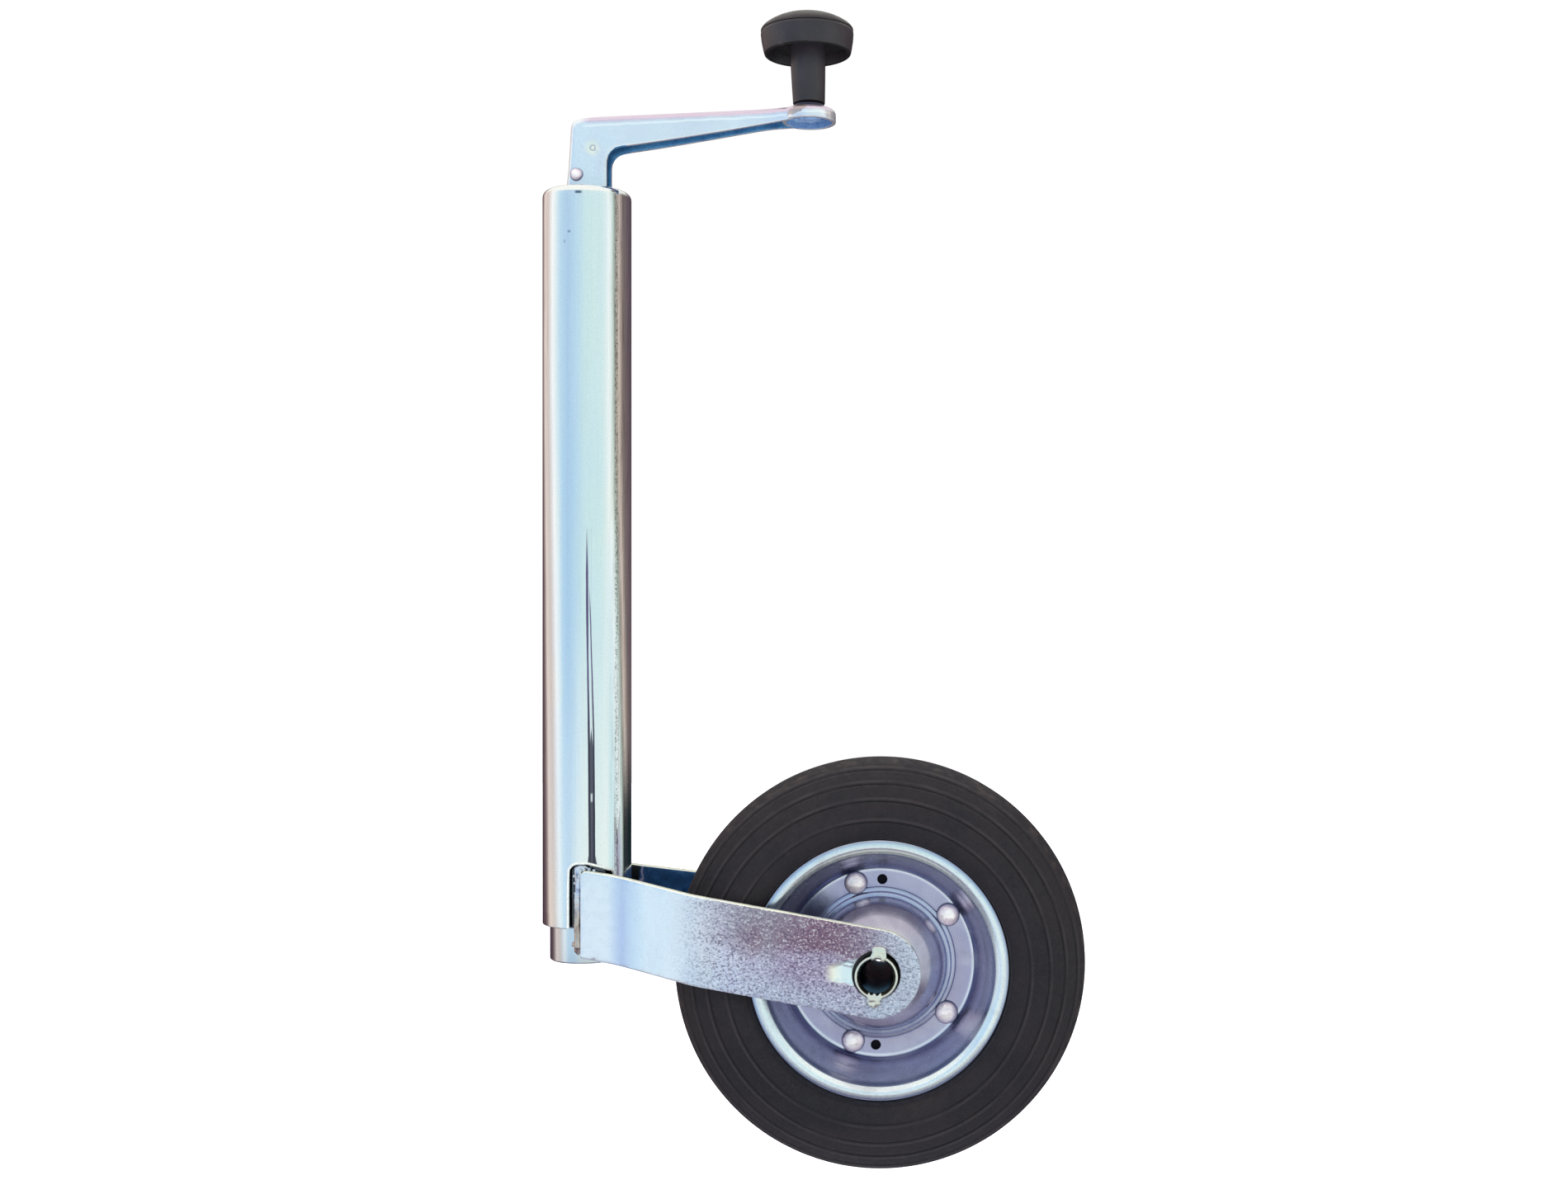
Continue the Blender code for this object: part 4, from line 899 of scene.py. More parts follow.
def plate(outline, holes, front, back, step, edge, fine=None, rounds=3):
    """A plate in the XZ plane: outline counter-clockwise, holes clockwise, front and back give y at (x, z)."""
    loops = [spaced(outline, step)] + [spaced(h, step * 0.8) for h in holes]
    rims = [inset(l, edge) for l in loops]
    pts, edges = [], []
    for r in rims:
        base = len(pts)
        pts += r
        edges += [(base + i, base + (i + 1) % len(r)) for i in range(len(r))]
    xs, zs = [p[0] for p in rims[0]], [p[1] for p in rims[0]]
    guard = [p for r in rims for p in r]
    cells = {}
    for p in guard:
        cells.setdefault((int(p[0] // 4), int(p[1] // 4)), []).append(p)

    def clear(x, z, gap):
        i, j = int(x // 4), int(z // 4)
        return all(
            math.hypot(x - a, z - b) > gap for di in (-1, 0, 1) for dj in (-1, 0, 1) for a, b in cells.get((i + di, j + dj), ())
        )

    def grid(x0, z0, x1, z1, s, skip):
        row, z = 0, z0
        while z < z1:
            x = x0 + (s / 2 if row % 2 else 0)
            while x < x1:
                if not (skip and skip[0] < x < skip[2] and skip[1] < z < skip[3]):
                    if inside((x, z), rims[0]) and not any(inside((x, z), r) for r in rims[1:]) and clear(x, z, 0.55 * min(s, step)):
                        pts.append((x, z))
                x += s
            z += s * 0.866
            row += 1

    grid(min(xs), min(zs), max(xs), max(zs), step, fine)
    if fine:
        grid(fine[0], fine[1], fine[2], fine[3], fine[4], None)
    co, _, tris, origin, _, _ = delaunay_2d_cdt([Vector(p) for p in pts], edges, [], 0, 1e-6)
    index = {}
    for new, olds in enumerate(origin):
        for old in olds:
            index[old] = new
    keep = []
    for t in tris:
        c = (sum(co[i].x for i in t) / len(t), sum(co[i].y for i in t) / len(t))
        if inside(c, rims[0]) and not any(inside(c, r) for r in rims[1:]):
            keep.append(tuple(t))
    flat = [(p.x, p.y) for p in co]
    n = len(flat)
    verts = [(x, front(x, z), z) for x, z in flat] + [(x, back(x, z), z) for x, z in flat]
    faces = keep + [tuple(i + n for i in reversed(t)) for t in keep]
    start = 0
    for loop, rim in zip(loops, rims):
        m = len(loop)
        rows = [[index[start + i] for i in range(m)]]
        for side, surface in ((0, front), (1, back)):
            chain = []
            for k in range(1, rounds + 1):
                a = math.pi / 2 * k / rounds
                ring_xz = inset(loop, edge * (1 - math.sin(a)))
                ids = list(range(len(verts), len(verts) + m))
                for (x, z), (ox, oz) in zip(ring_xz, rim):
                    y0, y1 = front(x, z), back(x, z)
                    way = (1 if y1 > y0 else -1) * (1 if side == 0 else -1)
                    verts.append((x, surface(x, z) + way * edge * (1 - math.cos(a)), z))
                chain.append(ids)
            if side == 0:
                rows += chain
            else:
                rows += chain[::-1]
        rows.append([index[start + i] + n for i in range(m)])
        for p, q in zip(rows, rows[1:]):
            faces += [(p[i], p[(i + 1) % m], q[(i + 1) % m], q[i]) for i in range(m)]
        start += m
    return verts, faces


# ------------------------------------------------------------------ fork legs
LEG_T, BEND_A, BEND_B, FACE_A = 5.0, 20.7, 63.0, 25.3
END_R = 23.6
END = (LEG_RIGHT - END_R, WZ + 1.3)
SLOPE = math.atan2((-168.0 - 215.4) / 2 - END[1], END[0] - LEG_LEFT)


def ramped(t, w=6.0):
    return 0.0 if t < -w else (t if t > w else (t + w) ** 2 / (4 * w))


def leg_offset(x):
    m = (LEG_FACE - FACE_A) / (BEND_B - BEND_A)
    return FACE_A + m * (ramped(x - BEND_A) - ramped(x - BEND_B))


def leg_mark(x, z):
    """Relief of the outer face near the axle: a pressed patch that fans out towards the hole and a small slot above it."""
    d = 0.0
    wide = 3.0 + 4.2 * max(0.0, min(1.0, (x - 132.0) / 13.0)) + 1.3 * lump(x, 0, z, 3.1, 3)
    t = max(0.0, min(1.0, (x - 131.5) / 5.5)) * (1.0 if x < 149.5 else 0.0)
    d += 0.30 * t * max(0.0, min(1.0, (wide - abs(z + 219.8)) / 1.8))
    u, w = (x - 146.0) + 0.18 * (z + 214.4), (z + 214.4) + 0.18 * (x - 146.0)
    q = math.hypot(max(0.0, abs(u) - 2.6), w)
    d -= 0.55 * math.exp(-((q - 1.25) / 0.45) ** 2)
    return d


def sign_of(side):
    return 1 if side == "near" else 0


def leg_pair(side, sign, mat):
    end = [
        (END[0] + END_R * math.cos(a), END[1] + END_R * math.sin(a))
        for a in (math.pi / 2 - SLOPE - math.pi * i / 40 for i in range(41))
    ]
    outline = rounded([(LEG_LEFT, -215.4, 1.6), (LEG_LEFT, -168.0, 3.2)], 4, False)
    corner = rounded([end[-1], (LEG_LEFT, -215.4, 1.6), (LEG_LEFT, -168.0, 3.2), end[0]], 4, False)
    outline = end[1:-1] + [end[-1]] + corner[1:-1] + [end[0]]
    outline = outline[::-1]
    hole = [(WX - 0.9 * sign_of(side) + 12.7 * math.cos(2 * math.pi * i / 56), WZ + 1.0 + 12.7 * math.sin(2 * math.pi * i / 56)) for i in range(56)][::-1]

    def front(x, z):
        wave = 0.10 * lump(x, 3 * sign, z, 13.0, 5.0) + (0.05 * lump(x, sign, z, 4.2, 1.0) if x > 50 else 0.0)
        return -sign * (leg_offset(x) - leg_mark(x, z) + min(0.0, wave) * 1.0)

    def back(x, z):
        m = (leg_offset(x + 0.5) - leg_offset(x - 0.5))
        return -sign * (leg_offset(x) - LEG_T * math.sqrt(1 + m * m))

    v, f = plate(outline, [hole], front, back, 1.9, 0.75, (131.0, -228.0, 152.0, -209.5, 0.55))
    leg = make("fork_leg_%s_bar" % side, v, f, mat, "fork", ["fork_leg_" + side], 50)
    # painted shade: the bar's inward face is deep blue, with a painted shadow near black towards the tube
    repaint(leg, MAT_LEG_INSIDE, lambda c, n: n.y * sign > 0.5)
    # painted highlight: faces turned upwards along the bar get a pale cream finish
    repaint(leg, MAT_TOP_HIGHLIGHT, lambda c, n: n.z > 0.62 and math.hypot(c.x - WX, c.z - WZ) > 20.0)
    return leg


leg_pair("near", 1, MAT_LEG_NEAR)
leg_pair("far", -1, MAT_LEG_FAR)


# ------------------------------------------------------------------ welds
for side, sign in (("near", 1), ("far", -1)):
    top, bottom = -167.2, -213.8
    path = [(4.6, -sign * 21.2, top - 0.2), (2.6, -sign * 22.0, top + 0.4), (0.8, -sign * 22.5, top + 0.3), (-0.9, -sign * 22.6, top - 0.8)]
    count = 76
    for i in range(count):
        t = i / (count - 1)
        z = top - 1.9 + t * (bottom - top + 1.9)
        path.append((-0.80 + 0.25 * math.sin(7.3 * t + sign) + 0.25 * lump(0, sign, z, 5.5, 2), -sign * (22.75 - 0.25 * lump(3, sign, z, 6.5, 4)), z))
    total = len(path)

    def fat(i, a, total=total, sign=sign):
        end = min(1.0, 0.40 + i / 5.0, 0.30 + (total - 1 - i) / 4.0)
        t = i / total
        wave = 0.45 * noise.noise(Vector((i * 0.085, a * 0.5, sign * 3.0))) + 0.16 * noise.noise(Vector((i * 0.30, a * 0.9, sign * 7.0)))
        foot = 0.55 * math.exp(-((i - total + 9) / 4.5) ** 2)
        shoulder = 0.40 * math.exp(-((i - 9) / 5.5) ** 2)
        return max(0.25, (1.72 + wave + foot + shoulder * (0.6 if t < 0.3 else 0.3)) * end)

    v, f = tube_along(path, fat, 24)
    for cx, cz, size, out in ((-1.9, -171.6, 1.6, 21.9), (-2.3, -175.6, 1.15, 21.6), (0.0, -168.7, 1.6, 22.4), (2.4, -167.9, 1.45, 22.2), (5.0, -168.0, 1.15, 21.8),
                              (-2.4, -181.0, 0.95, 22.0), (-3.2, -208.6, 1.2, 20.6), (-1.2, -211.6, 1.8, 21.6), (7.6, -168.6, 0.9, 21.2)):
        base = len(v)
        ring = [(size * math.sin(math.radians(b)), size * math.cos(math.radians(b))) for b in range(0, 181, 15)]
        ring[0], ring[-1] = (0.0, size), (0.0, -size)
        bv, bf = lathe(ring, lambda r, h, a: (cx + r * math.cos(a), -sign * out + r * math.sin(a), cz + h), 18, None, False)
        for x, y, z in bv:
            grow = 1 + 0.30 * lump(x, y, z, 1.7, 3.0)
            v.append((cx + (x - cx) * grow, -sign * out + (y + sign * out) * grow, cz + (z - cz) * grow))
        f += [tuple(i + base for i in t) for t in bf]
    make("weld_%s_bead" % side, v, f, MAT_WELD, "fork", ["weld_" + side], 60)


# ------------------------------------------------------------------ axle: flared mouths and staked tabs
def mouth_shift(h):
    """The near end of the axle tube was staked a little off centre."""
    t = max(0.0, min(1.0, (h - 34.5) / 5.0))
    return -0.9 * t * t * (3 - 2 * t)


def axle_piece():
    h = AXLE_HALF
    prof = rounded(
        [(11.4, 1.0 - h, 0.5), (11.4, -h + 8), (11.4, -34), (11.4, -20), (11.4, 20), (11.4, 34), (11.4, 36), (11.4, 38), (11.4, h - 3), (11.4, h - 0.35, 0.5),
         (10.3, h - 0.3, 0.35), (9.75, h - 1.5, 0.6), (8.9, h - 4.0, 1.0), (8.25, 36), (8.2, 34), (8.2, 20), (8.2, 0), (8.2, -20), (8.2, 4.4 - h, 1.0), (9.9, 1.9 - h, 0.6), (10.3, 1.0 - h, 0.3)],
        3,
    )
    verts, faces = lathe(prof, across(1), 96)
    return [(x + mouth_shift(-y), y, z) for x, y, z in verts], faces


v, f = axle_piece()
TAB_TOP = [(-3.4, 12.6), (-3.7, 14.2), (-3.3, 15.4), (-2.0, 16.0), (1.6, 16.1), (3.1, 15.6), (3.8, 14.2), (4.1, 12.4), (4.4, 10.9), (3.6, 9.0), (2.6, 8.4), (1.9, 9.2), (1.2, 10.4),
           (0.2, 11.2), (-0.9, 10.2), (-2.0, 9.2), (-3.2, 8.8), (-4.2, 9.9), (-4.0, 11.4)]
TAB_LOW = [(-4.2, 10.2), (-3.6, 8.9), (-3.1, 7.7), (-2.2, 8.8), (-1.2, 9.6), (-0.4, 8.5), (0.5, 8.3), (1.2, 9.5), (2.3, 9.2), (3.0, 7.9), (3.7, 9.2), (4.1, 10.6), (3.4, 12.4), (3.7, 13.6), (2.6, 14.9), (1.3, 16.0),
           (-1.1, 16.1), (-2.5, 15.2), (-3.6, 13.9), (-3.2, 12.4)]


def tab(points, turn, side, seed):
    """A staked tab: an irregular lip swaged over the leg's face, as a lumpy closed plate."""
    fine = spaced(points, 0.55)
    rim = [(p, q) for p, q in fine]
    area = sum(a[0] * b[1] - b[0] * a[1] for a, b in zip(rim, rim[1:] + rim[:1]))
    if area < 0:
        rim.reverse()
    c, s = math.cos(turn), math.sin(turn)

    def top(x, z):
        return -side * (AXLE_HALF - 0.02 - 0.40 * abs(lump(x, seed, z, 1.9, seed)) - 0.05 * max(0.0, math.hypot(x, z) - 12) ** 1.4)

    def low(x, z):
        return -side * (LEG_FACE - 0.25)

    tv, tf = plate(rim, [], top, low, 0.7, 0.32, None, 2)
    return [(WX + mouth_shift(side * AXLE_HALF) + x * c + z * s, y, WZ - x * s + z * c) for x, y, z in tv], tf


for side in (1, -1):
    for points, turn, seed in ((TAB_TOP, math.radians(5.5), 1.3), (TAB_LOW, math.radians(180 + 5.5), 4.1)):
        tv, tf = tab(points, turn, side, seed + side)
        base = len(v)
        v += tv
        f += [tuple(i + base for i in t) for t in tf]
axle = make("axle_tube_staked", v, f, MAT_AXLE, "fork", ["axle_tube"], 45)
repaint(axle, MAT_BORE_SHADE, lambda c, n: math.hypot(c.x - WX - mouth_shift(-c.y), c.z - WZ) < 9.3 and abs(c.y) < AXLE_HALF - 2.2)


# ------------------------------------------------------------------ rim halves
def offset_back(path, thick):
    back = []
    for i, (r, z) in enumerate(path):
        normals = []
        for a, b in ((i - 1, i), (i, i + 1)):
            if 0 <= a and b < len(path):
                dr, dz = path[b][0] - path[a][0], path[b][1] - path[a][1]
                size = math.hypot(dr, dz)
                normals.append((dz / size, -dr / size))
        nr, nz = sum(q[0] for q in normals), sum(q[1] for q in normals)
        k = thick / (1 + normals[0][0] * normals[1][0] + normals[0][1] * normals[1][1]) if len(normals) == 2 else thick
        back.append((r + nr * k, z + nz * k))
    return back


COARSE = [(17.9, 30.6), (17.9, 25.0), (20.6, 22.2), (27.5, 18.0), (33.4, 12.4), (36.7, 5.4), (38.5, 2.6), (41.2, 2.2),
          (52.2, 2.2), (54.6, 6.6), (62.2, 21.6), (64.0, 23.8), (66.6, 25.9), (69.5, 26.3)]
FACE = [(17.9, 30.6, 0.5), (17.9, 24.6, 2.2), (21.4, 21.9, 4.0), (27.5, 18.1, 12.0), (33.2, 12.6, 9.0), (35.9, 6.6, 1.6),
        (36.6, 5.3, 0.5), (38.5, 5.2, 0.7), (39.1, 3.1, 0.6), (41.0, 2.9, 0.4), (41.5, 2.2, 0.4), (51.2, 2.2, 0.6),
        (51.9, 2.5, 0.4), (53.2, 3.6, 2.0), (57.6, 11.2, 14.0), (61.3, 19.7, 6.0), (62.5, 23.9, 0.5), (65.4, 25.9, 3.4), (69.5, 25.3, 0.6)]
BACK = [(r, z, 1.2) for r, z in offset_back(COARSE, 2.0)]
for side, sign in (("near", 1), ("far", -1)):
    prof = rounded(FACE + BACK[::-1], 4)
    v, f = lathe(prof, across(sign), 160, lambda r, h, a: (r, h + 0.05 * lump(r * math.cos(a), 4, r * math.sin(a), 9.0, 2)))
    rim = make("rim_half_%s_pressing" % side, v, f, MAT_RIM, "wheel", ["rim_half_" + side], 38)
    for angle in ((88.5, -93.0) if side == "near" else (125.5, -53.0)):
        a = math.radians(angle)
        cx, cz = WX + 45.4 * math.cos(a), WZ + 45.4 * math.sin(a)
        hv, hf = lathe(rounded([(0, 7), (3.5, 7), (2.8, 2.5, 0.8), (2.8, -1.5), (0, -1.5)], 3), across(sign, cx, cz), 28, closed=False)
        cut(rim, cutter("vent", hv, hf))
    tidy(rim, 38)

for i, (cx, cz) in enumerate(RIVETS):
    dome = [(6.35 * math.sin(math.radians(a)), 2.75 + 3.4 * math.cos(math.radians(a)) ** 0.9) for a in range(0, 86, 7)]
    half = dome + [(6.4, 2.75), (6.1, 2.3), (3.05, 2.25)]
    prof = half + [(r, -h) for r, h in half[::-1]]
    prof[0] = (0.0, prof[0][1])
    prof[-1] = (0.0, prof[-1][1])
    v, f = lathe(prof, across(1, cx, cz), 40, lambda r, h, a, i=i: (r, h * (1 - 0.03 * noise.noise(Vector((r * math.cos(a) * 0.4, r * math.sin(a) * 0.4, i * 3.1))))), closed=False)
    make("rim_rivet_%d_domed" % (i + 1), v, f, MAT_RIVET, "wheel", ["rim_rivet_%d" % (i + 1)], 50)


# ------------------------------------------------------------------ tyre
def tyre_profile():
    ctrl = [(72.4, 31.0), (75.5, 32.5), (80.4, 33.2), (85.5, 31.9), (91.0, 29.5), (95.6, 27.0), (99.6, 24.2), (103.4, 20.8), (106.6, 17.2), (109.2, 13.2), (111.0, 9.2), (112.0, 5.4), (TYRE_R - 0.15, 2.0)]
    pts = []
    n = 150
    for i in range(n + 1):
        pts.append(lerp_path(ctrl, i / n))
    out = []
    for i, (r, h) in enumerate(pts):
        a, b = pts[max(i - 1, 0)], pts[min(i + 1, n)]
        t = Vector((b[0] - a[0], b[1] - a[1])).normalized()
        nr, nh = -t.y, t.x
        if nh < 0 and nr < 0:
            nr, nh = -nr, -nh
        lift = 0.0
        for c, w, hgt in ((80.4, 0.5, 0.45), (91.0, 0.5, 0.50), (99.6, 0.5, 0.50), (106.6, 0.5, 0.35)):
            lift += 0.6 * hgt * math.exp(-((r - c - 1.3) / 0.6) ** 2) - hgt * math.exp(-((r - c) / w) ** 2)
        out.append((min(r + nr * lift * (1 if nr > 0 else -1), TYRE_R - 0.1), h + nh * lift * 0.9))
    return out


wall = tyre_profile()
half = [(70.6, 23.6), (70.55, 27.4), (70.9, 29.4), (71.5, 30.4)] + wall
seat = [(55.9, 3.0), (64.9, 20.3), (67.0, 22.4)]
prof = half + [(TYRE_R, 0.0)] + [(r, -h) for r, h in half[::-1]] + [(r, -h) for r, h in seat[::-1]] + seat
v, f = lathe(prof, across(1), 176, lambda r, h, a: (r + (0.05 * noise.noise(Vector((math.cos(a) * 3, math.sin(a) * 3, h * 0.05))) - 0.05 if r > 75 else 0), h))
tyre_skin = make("tyre_solid_rubber", v, f, MAT_RUBBER, "wheel", ["tyre"], 40)
tyre_skin.visible_glossy = False


# ------------------------------------------------------------------ crank: a pressed channel that ends in a cup
SPINE = [(-10.2, 201.7), (-9.4, 208.5), (-8.8, 216.0), (-8.3, 224.0), (-7.9, 231.0), (-7.5, 235.0), (-6.1, 237.6), (-3.0, 239.0), (2.5, 239.8),
         (12.0, 240.4), (22.0, 240.9), (36.0, 241.6), (52.0, 242.4), (68.0, 243.2), (84.0, 244.0), (100.0, 244.8), (116.5, 245.5)]
LOWER = [(12.2, 201.7), (12.2, 207.5), (12.2, 212.0), (12.3, 215.6), (12.9, 218.0), (13.8, 219.8), (15.2, 221.3), (17.2, 222.5), (20.5, 223.4),
         (26.0, 224.2), (33.0, 225.2), (44.0, 226.9), (57.0, 229.0), (71.0, 231.3), (86.0, 233.9), (101.0, 236.4), (117.0, 238.4)]
WIDTH = [(8.7,)] * 9 + [(8.6,), (8.5,), (8.3,), (8.0,), (7.7,), (7.5,), (8.0,), (11.4,)]


def crank_channel():
    stations, wall, bend = 96, 2.5, 3.4
    verts, faces, ring = [], [], None
    for i in range(stations + 1):
        t = i / stations
        a, b, w = Vector(lerp_path(SPINE, t)), Vector(lerp_path(LOWER, t)), lerp_path(WIDTH, t)[0]
        deep = (b - a).length
        d = (b - a) / deep
        outer, inner = [], []
        tip = deep - 0.5
        for k in range(9):
            outer.append((-w, tip + (bend - tip) * k / 8))
        for k in range(1, 7):
            g = math.pi / 2 * k / 6
            outer.append((-w + bend - bend * math.cos(g), bend - bend * math.sin(g)))
        for k in range(1, 7):
            outer.append(((-w + bend) + (2 * w - 2 * bend) * k / 6, 0.0))
        for k in range(1, 7):
            g = math.pi / 2 * k / 6
            outer.append((w - bend + bend * math.sin(g), bend - bend * math.cos(g)))
        for k in range(1, 9):
            outer.append((w, bend + (tip - bend) * k / 8))
        r2 = bend - wall
        v2, dip = w - wall, wall
        for k in range(9):
            inner.append((v2, tip + (bend - tip) * k / 8))
        for k in range(1, 5):
            g = math.pi / 2 * k / 4
            inner.append((v2 - r2 + r2 * math.cos(g), dip + r2 - r2 * math.sin(g)))
        for k in range(1, 7):
            inner.append(((v2 - r2) - (2 * v2 - 2 * r2) * k / 6, dip))
        for k in range(1, 5):
            g = math.pi / 2 * k / 4
            inner.append((-v2 + r2 - r2 * math.sin(g), dip + r2 - r2 * math.cos(g)))
        for k in range(1, 9):
            inner.append((-v2, bend + (tip - bend) * k / 8))
        far_tip = [(w - 0.15, deep - 0.13), (w - 0.6, deep), (v2 + 0.6, deep), (v2 + 0.15, deep - 0.13)]
        near_tip = [(-v2 - 0.15, deep - 0.13), (-v2 - 0.6, deep), (-w + 0.6, deep), (-w + 0.15, deep - 0.13)]
        loop = outer + far_tip + inner + near_tip
        ids = []
        for y, p in loop:
            q = a + d * p
            dent = 0.07 * lump(q.x, y, q.y, 11.0, 7.0)
            if y < 0 and p < deep - 1:
                # the small punched pip on the near flange
                e = math.hypot(q.x - 5.2, q.y - 222.6)
                dent += 0.55 * math.exp(-(e / 0.9) ** 2) - 0.25 * math.exp(-((e - 2.0) / 1.2) ** 2)
            y2 = y - dent if y < 0 else y
            ids.append(len(verts))
            verts.append((q.x, y2, q.y))
        if ring:
            m = len(ids)
            faces += [(ring[j], ring[(j + 1) % m], ids[(j + 1) % m], ids[j]) for j in range(m)]
        else:
            faces.append(tuple(ids[::-1]))
        ring = ids
    faces.append(tuple(ring))
    return verts, faces


v, f = crank_channel()
crank = make("crank_arm_pressing", v, f, MAT_CRANK, "crank", ["crank_arm"], 38)
cup = rounded(
    [(4.5, 245.6, 0.3), (14.7, 245.6, 3.2), (14.7, 238.2, 0.7), (12.2, 238.2, 0.7), (12.2, 242.9, 1.2), (4.5, 242.9, 0.3)], 5
)
cv, cf = lathe(cup, upright(EYE_X), 72)
cut(crank, cutter("eye_cup", *lathe(rounded([(0, 242.85), (12.25, 242.85, 0.9), (12.25, 230), (0, 230)], 4), upright(EYE_X), 64, closed=False)))
cut(crank, cutter("eye_hole", *lathe([(0, 260), (4.45, 260), (4.45, 230), (0, 230)], upright(EYE_X), 40, closed=False)))
cut(crank, cutter("eye_ring", cv, cf), "UNION")
tidy(crank, 38, 0.00001)
# painted reflection: the channel's inner faces and underside are coloured blue
repaint(crank, MAT_CRANK_INSIDE, lambda c, n: (abs(n.y) > 0.6 and n.y * c.y < 0 and abs(c.y) < 9 and c.x < 112) or (n.z < -0.35 and abs(c.y) < 11.6 and c.x > 10 and abs(c.y) < 11.9 and math.hypot(c.x - EYE_X, c.y) > 99))
# painted reflection: the inside of the cup is coloured light blue
repaint(crank, MAT_CUP_INSIDE, lambda c, n: math.hypot(c.x - EYE_X, c.y) < 12.4 and c.z < 243.2)

near_y = 8.75
dome = [(3.55 * math.sin(math.radians(a)), near_y + 2.0 * math.cos(math.radians(a))) for a in range(0, 88, 8)]
half = dome + [(3.6, near_y + 0.05), (3.3, near_y - 0.2), (2.4, near_y - 0.3)]
prof = half + [(r, -h) for r, h in half[::-1]]
prof[0], prof[-1] = (0.0, prof[0][1]), (0.0, prof[-1][1])
v, f = lathe(prof, across(1, PIN_X, PIN_Z), 36, lambda r, h, a: (r * (1 + 0.03 * math.sin(3 * a + 1)), h), closed=False)
make("crank_rivet_domed", v, f, MAT_RIVET, "crank", ["crank_rivet"], 50)

# ------------------------------------------------------------------ knob: pin, washer, turned body and cap
pin = rounded([(0, KNOB_TOP - 11.4), (6.6, KNOB_TOP - 11.4, 0.6), (6.6, 284.0, 0.3), (4.1, 284.0, 0.3), (4.1, 242.45, 0.3), (6.7, 242.4, 0.6), (6.3, 240.4, 1.4), (3.6, 239.2, 1.0), (2.2, 239.6, 0.6), (0, 239.9)], 4, False)


def swaged(r, h, a):
    if h < 242.3 and r > 1.0:
        split = max(0.0, math.cos(3 * a + 0.6)) ** 10
        h += 0.5 * split * min(1.0, r / 4) + 0.25 * noise.noise(Vector((r * math.cos(a), r * math.sin(a), 2.0)))
    return r, h


v, f = lathe(pin, upright(EYE_X), 48, swaged, closed=False)
# painted highlight: the pin is coloured pale blue-white for the highlights on its swaged end
make("knob_pin_swaged", v, f, MAT_SWAGED, "crank", ["knob_pin"], 45)
v, f = lathe(rounded([(4.5, WASHER_TOP, 0.3), (8.5, WASHER_TOP, 0.7), (8.5, WASHER_LOW, 0.7), (4.5, WASHER_LOW, 0.3)], 4), upright(EYE_X), 56,
             lambda r, h, a: (r, h))
make("knob_washer_ring", v, f, MAT_WASHER, "crank", ["knob_washer"], 50)

TILT = Matrix.Rotation(math.radians(-1.5), 3, "Y")


def leaning(x0, z0):
    def spot(r, h, a):
        q = TILT @ Vector((r * math.cos(a), r * math.sin(a), h - z0))
        return (x0 + q.x, q.y, z0 + q.z)
    return spot


body = rounded(
    [(7.6, 288.1, 0.2), (25.1, 288.1, 0.2), (25.45, 286.9, 1.0), (25.1, 283.0), (24.3, 278.5), (23.6, 275.6, 1.2), (21.6, 275.4, 1.0), (20.9, 280.8, 1.4),
     (19.0, 282.0, 1.4), (11.6, 282.0, 2.0), (9.75, 279.6, 2.0), (9.55, 270.0), (9.2, 260.0), (8.75, 248.45, 0.8), (4.5, 248.45, 0.3), (4.5, 283.6, 0.2), (7.6, 283.6, 0.2)],
    5,
)
v, f = lathe(body, leaning(EYE_X, 248.3), 96)
knob_skin = make("knob_body_moulded", v, f, MAT_KNOB, "knob", ["knob_body"], 45)
# painted shade: faces of the knob turned downwards are near black
repaint(knob_skin, MAT_KNOB_UNDER_SHADE, lambda c, n: n.z < -0.35)
crown = [(0.0, 297.75), (4.0, 297.65), (8.0, 297.25), (12.0, 296.5), (15.5, 295.5), (18.6, 294.2), (21.4, 292.7), (23.6, 291.2), (24.8, 290.0), (25.3, 289.2)]
cap = crown + rounded([(25.35, 288.7), (25.35, 288.35, 0.2), (7.2, 288.35), (7.2, 287.2), (0, 287.2)], 3, False)
v, f = lathe(cap, leaning(EYE_X, 248.3), 96, closed=False)
make("knob_cap_domed", v, f, MAT_CAP, "knob", ["knob_cap"], 45)


# ------------------------------------------------------------------ floor, light and camera
# the floor lies under the wheel when it is wound right down
FLOOR_Z = (WZ - TYRE_R) * MM - 0.2106
floor_mesh = bpy.data.meshes.new("floor")
floor_mesh.from_pydata([(-4, -4, FLOOR_Z), (4, -4, FLOOR_Z), (4, 4, FLOOR_Z), (-4, 4, FLOOR_Z)], [], [(0, 1, 2, 3)])
floor = bpy.data.objects.new("floor", floor_mesh)
scene.collection.objects.link(floor)
k = Kit("pale_floor")
floor_mesh.materials.append(k.finish(k.mix(k.noise(3, 2), (0.93, 0.93, 0.93), (0.95, 0.95, 0.95)), 0.9, 0.0, Specular_IOR_Level=0.0, Emission_Color=(1.0, 1.0, 1.0, 1.0), Emission_Strength=0.55))
floor.visible_glossy = False


def softbox(name, spot, aim, size, watts, colour):
    data = bpy.data.lights.new(name, "AREA")
    data.shape, data.size, data.size_y, data.energy, data.color = "RECTANGLE", size[0], size[1], watts, colour
    ob = bpy.data.objects.new(name, data)
    scene.collection.objects.link(ob)
    ob.location = spot
    ob.rotation_euler = (Vector(aim) - Vector(spot)).to_track_quat("-Z", "Y").to_euler()
    ob.visible_glossy = False
    return ob


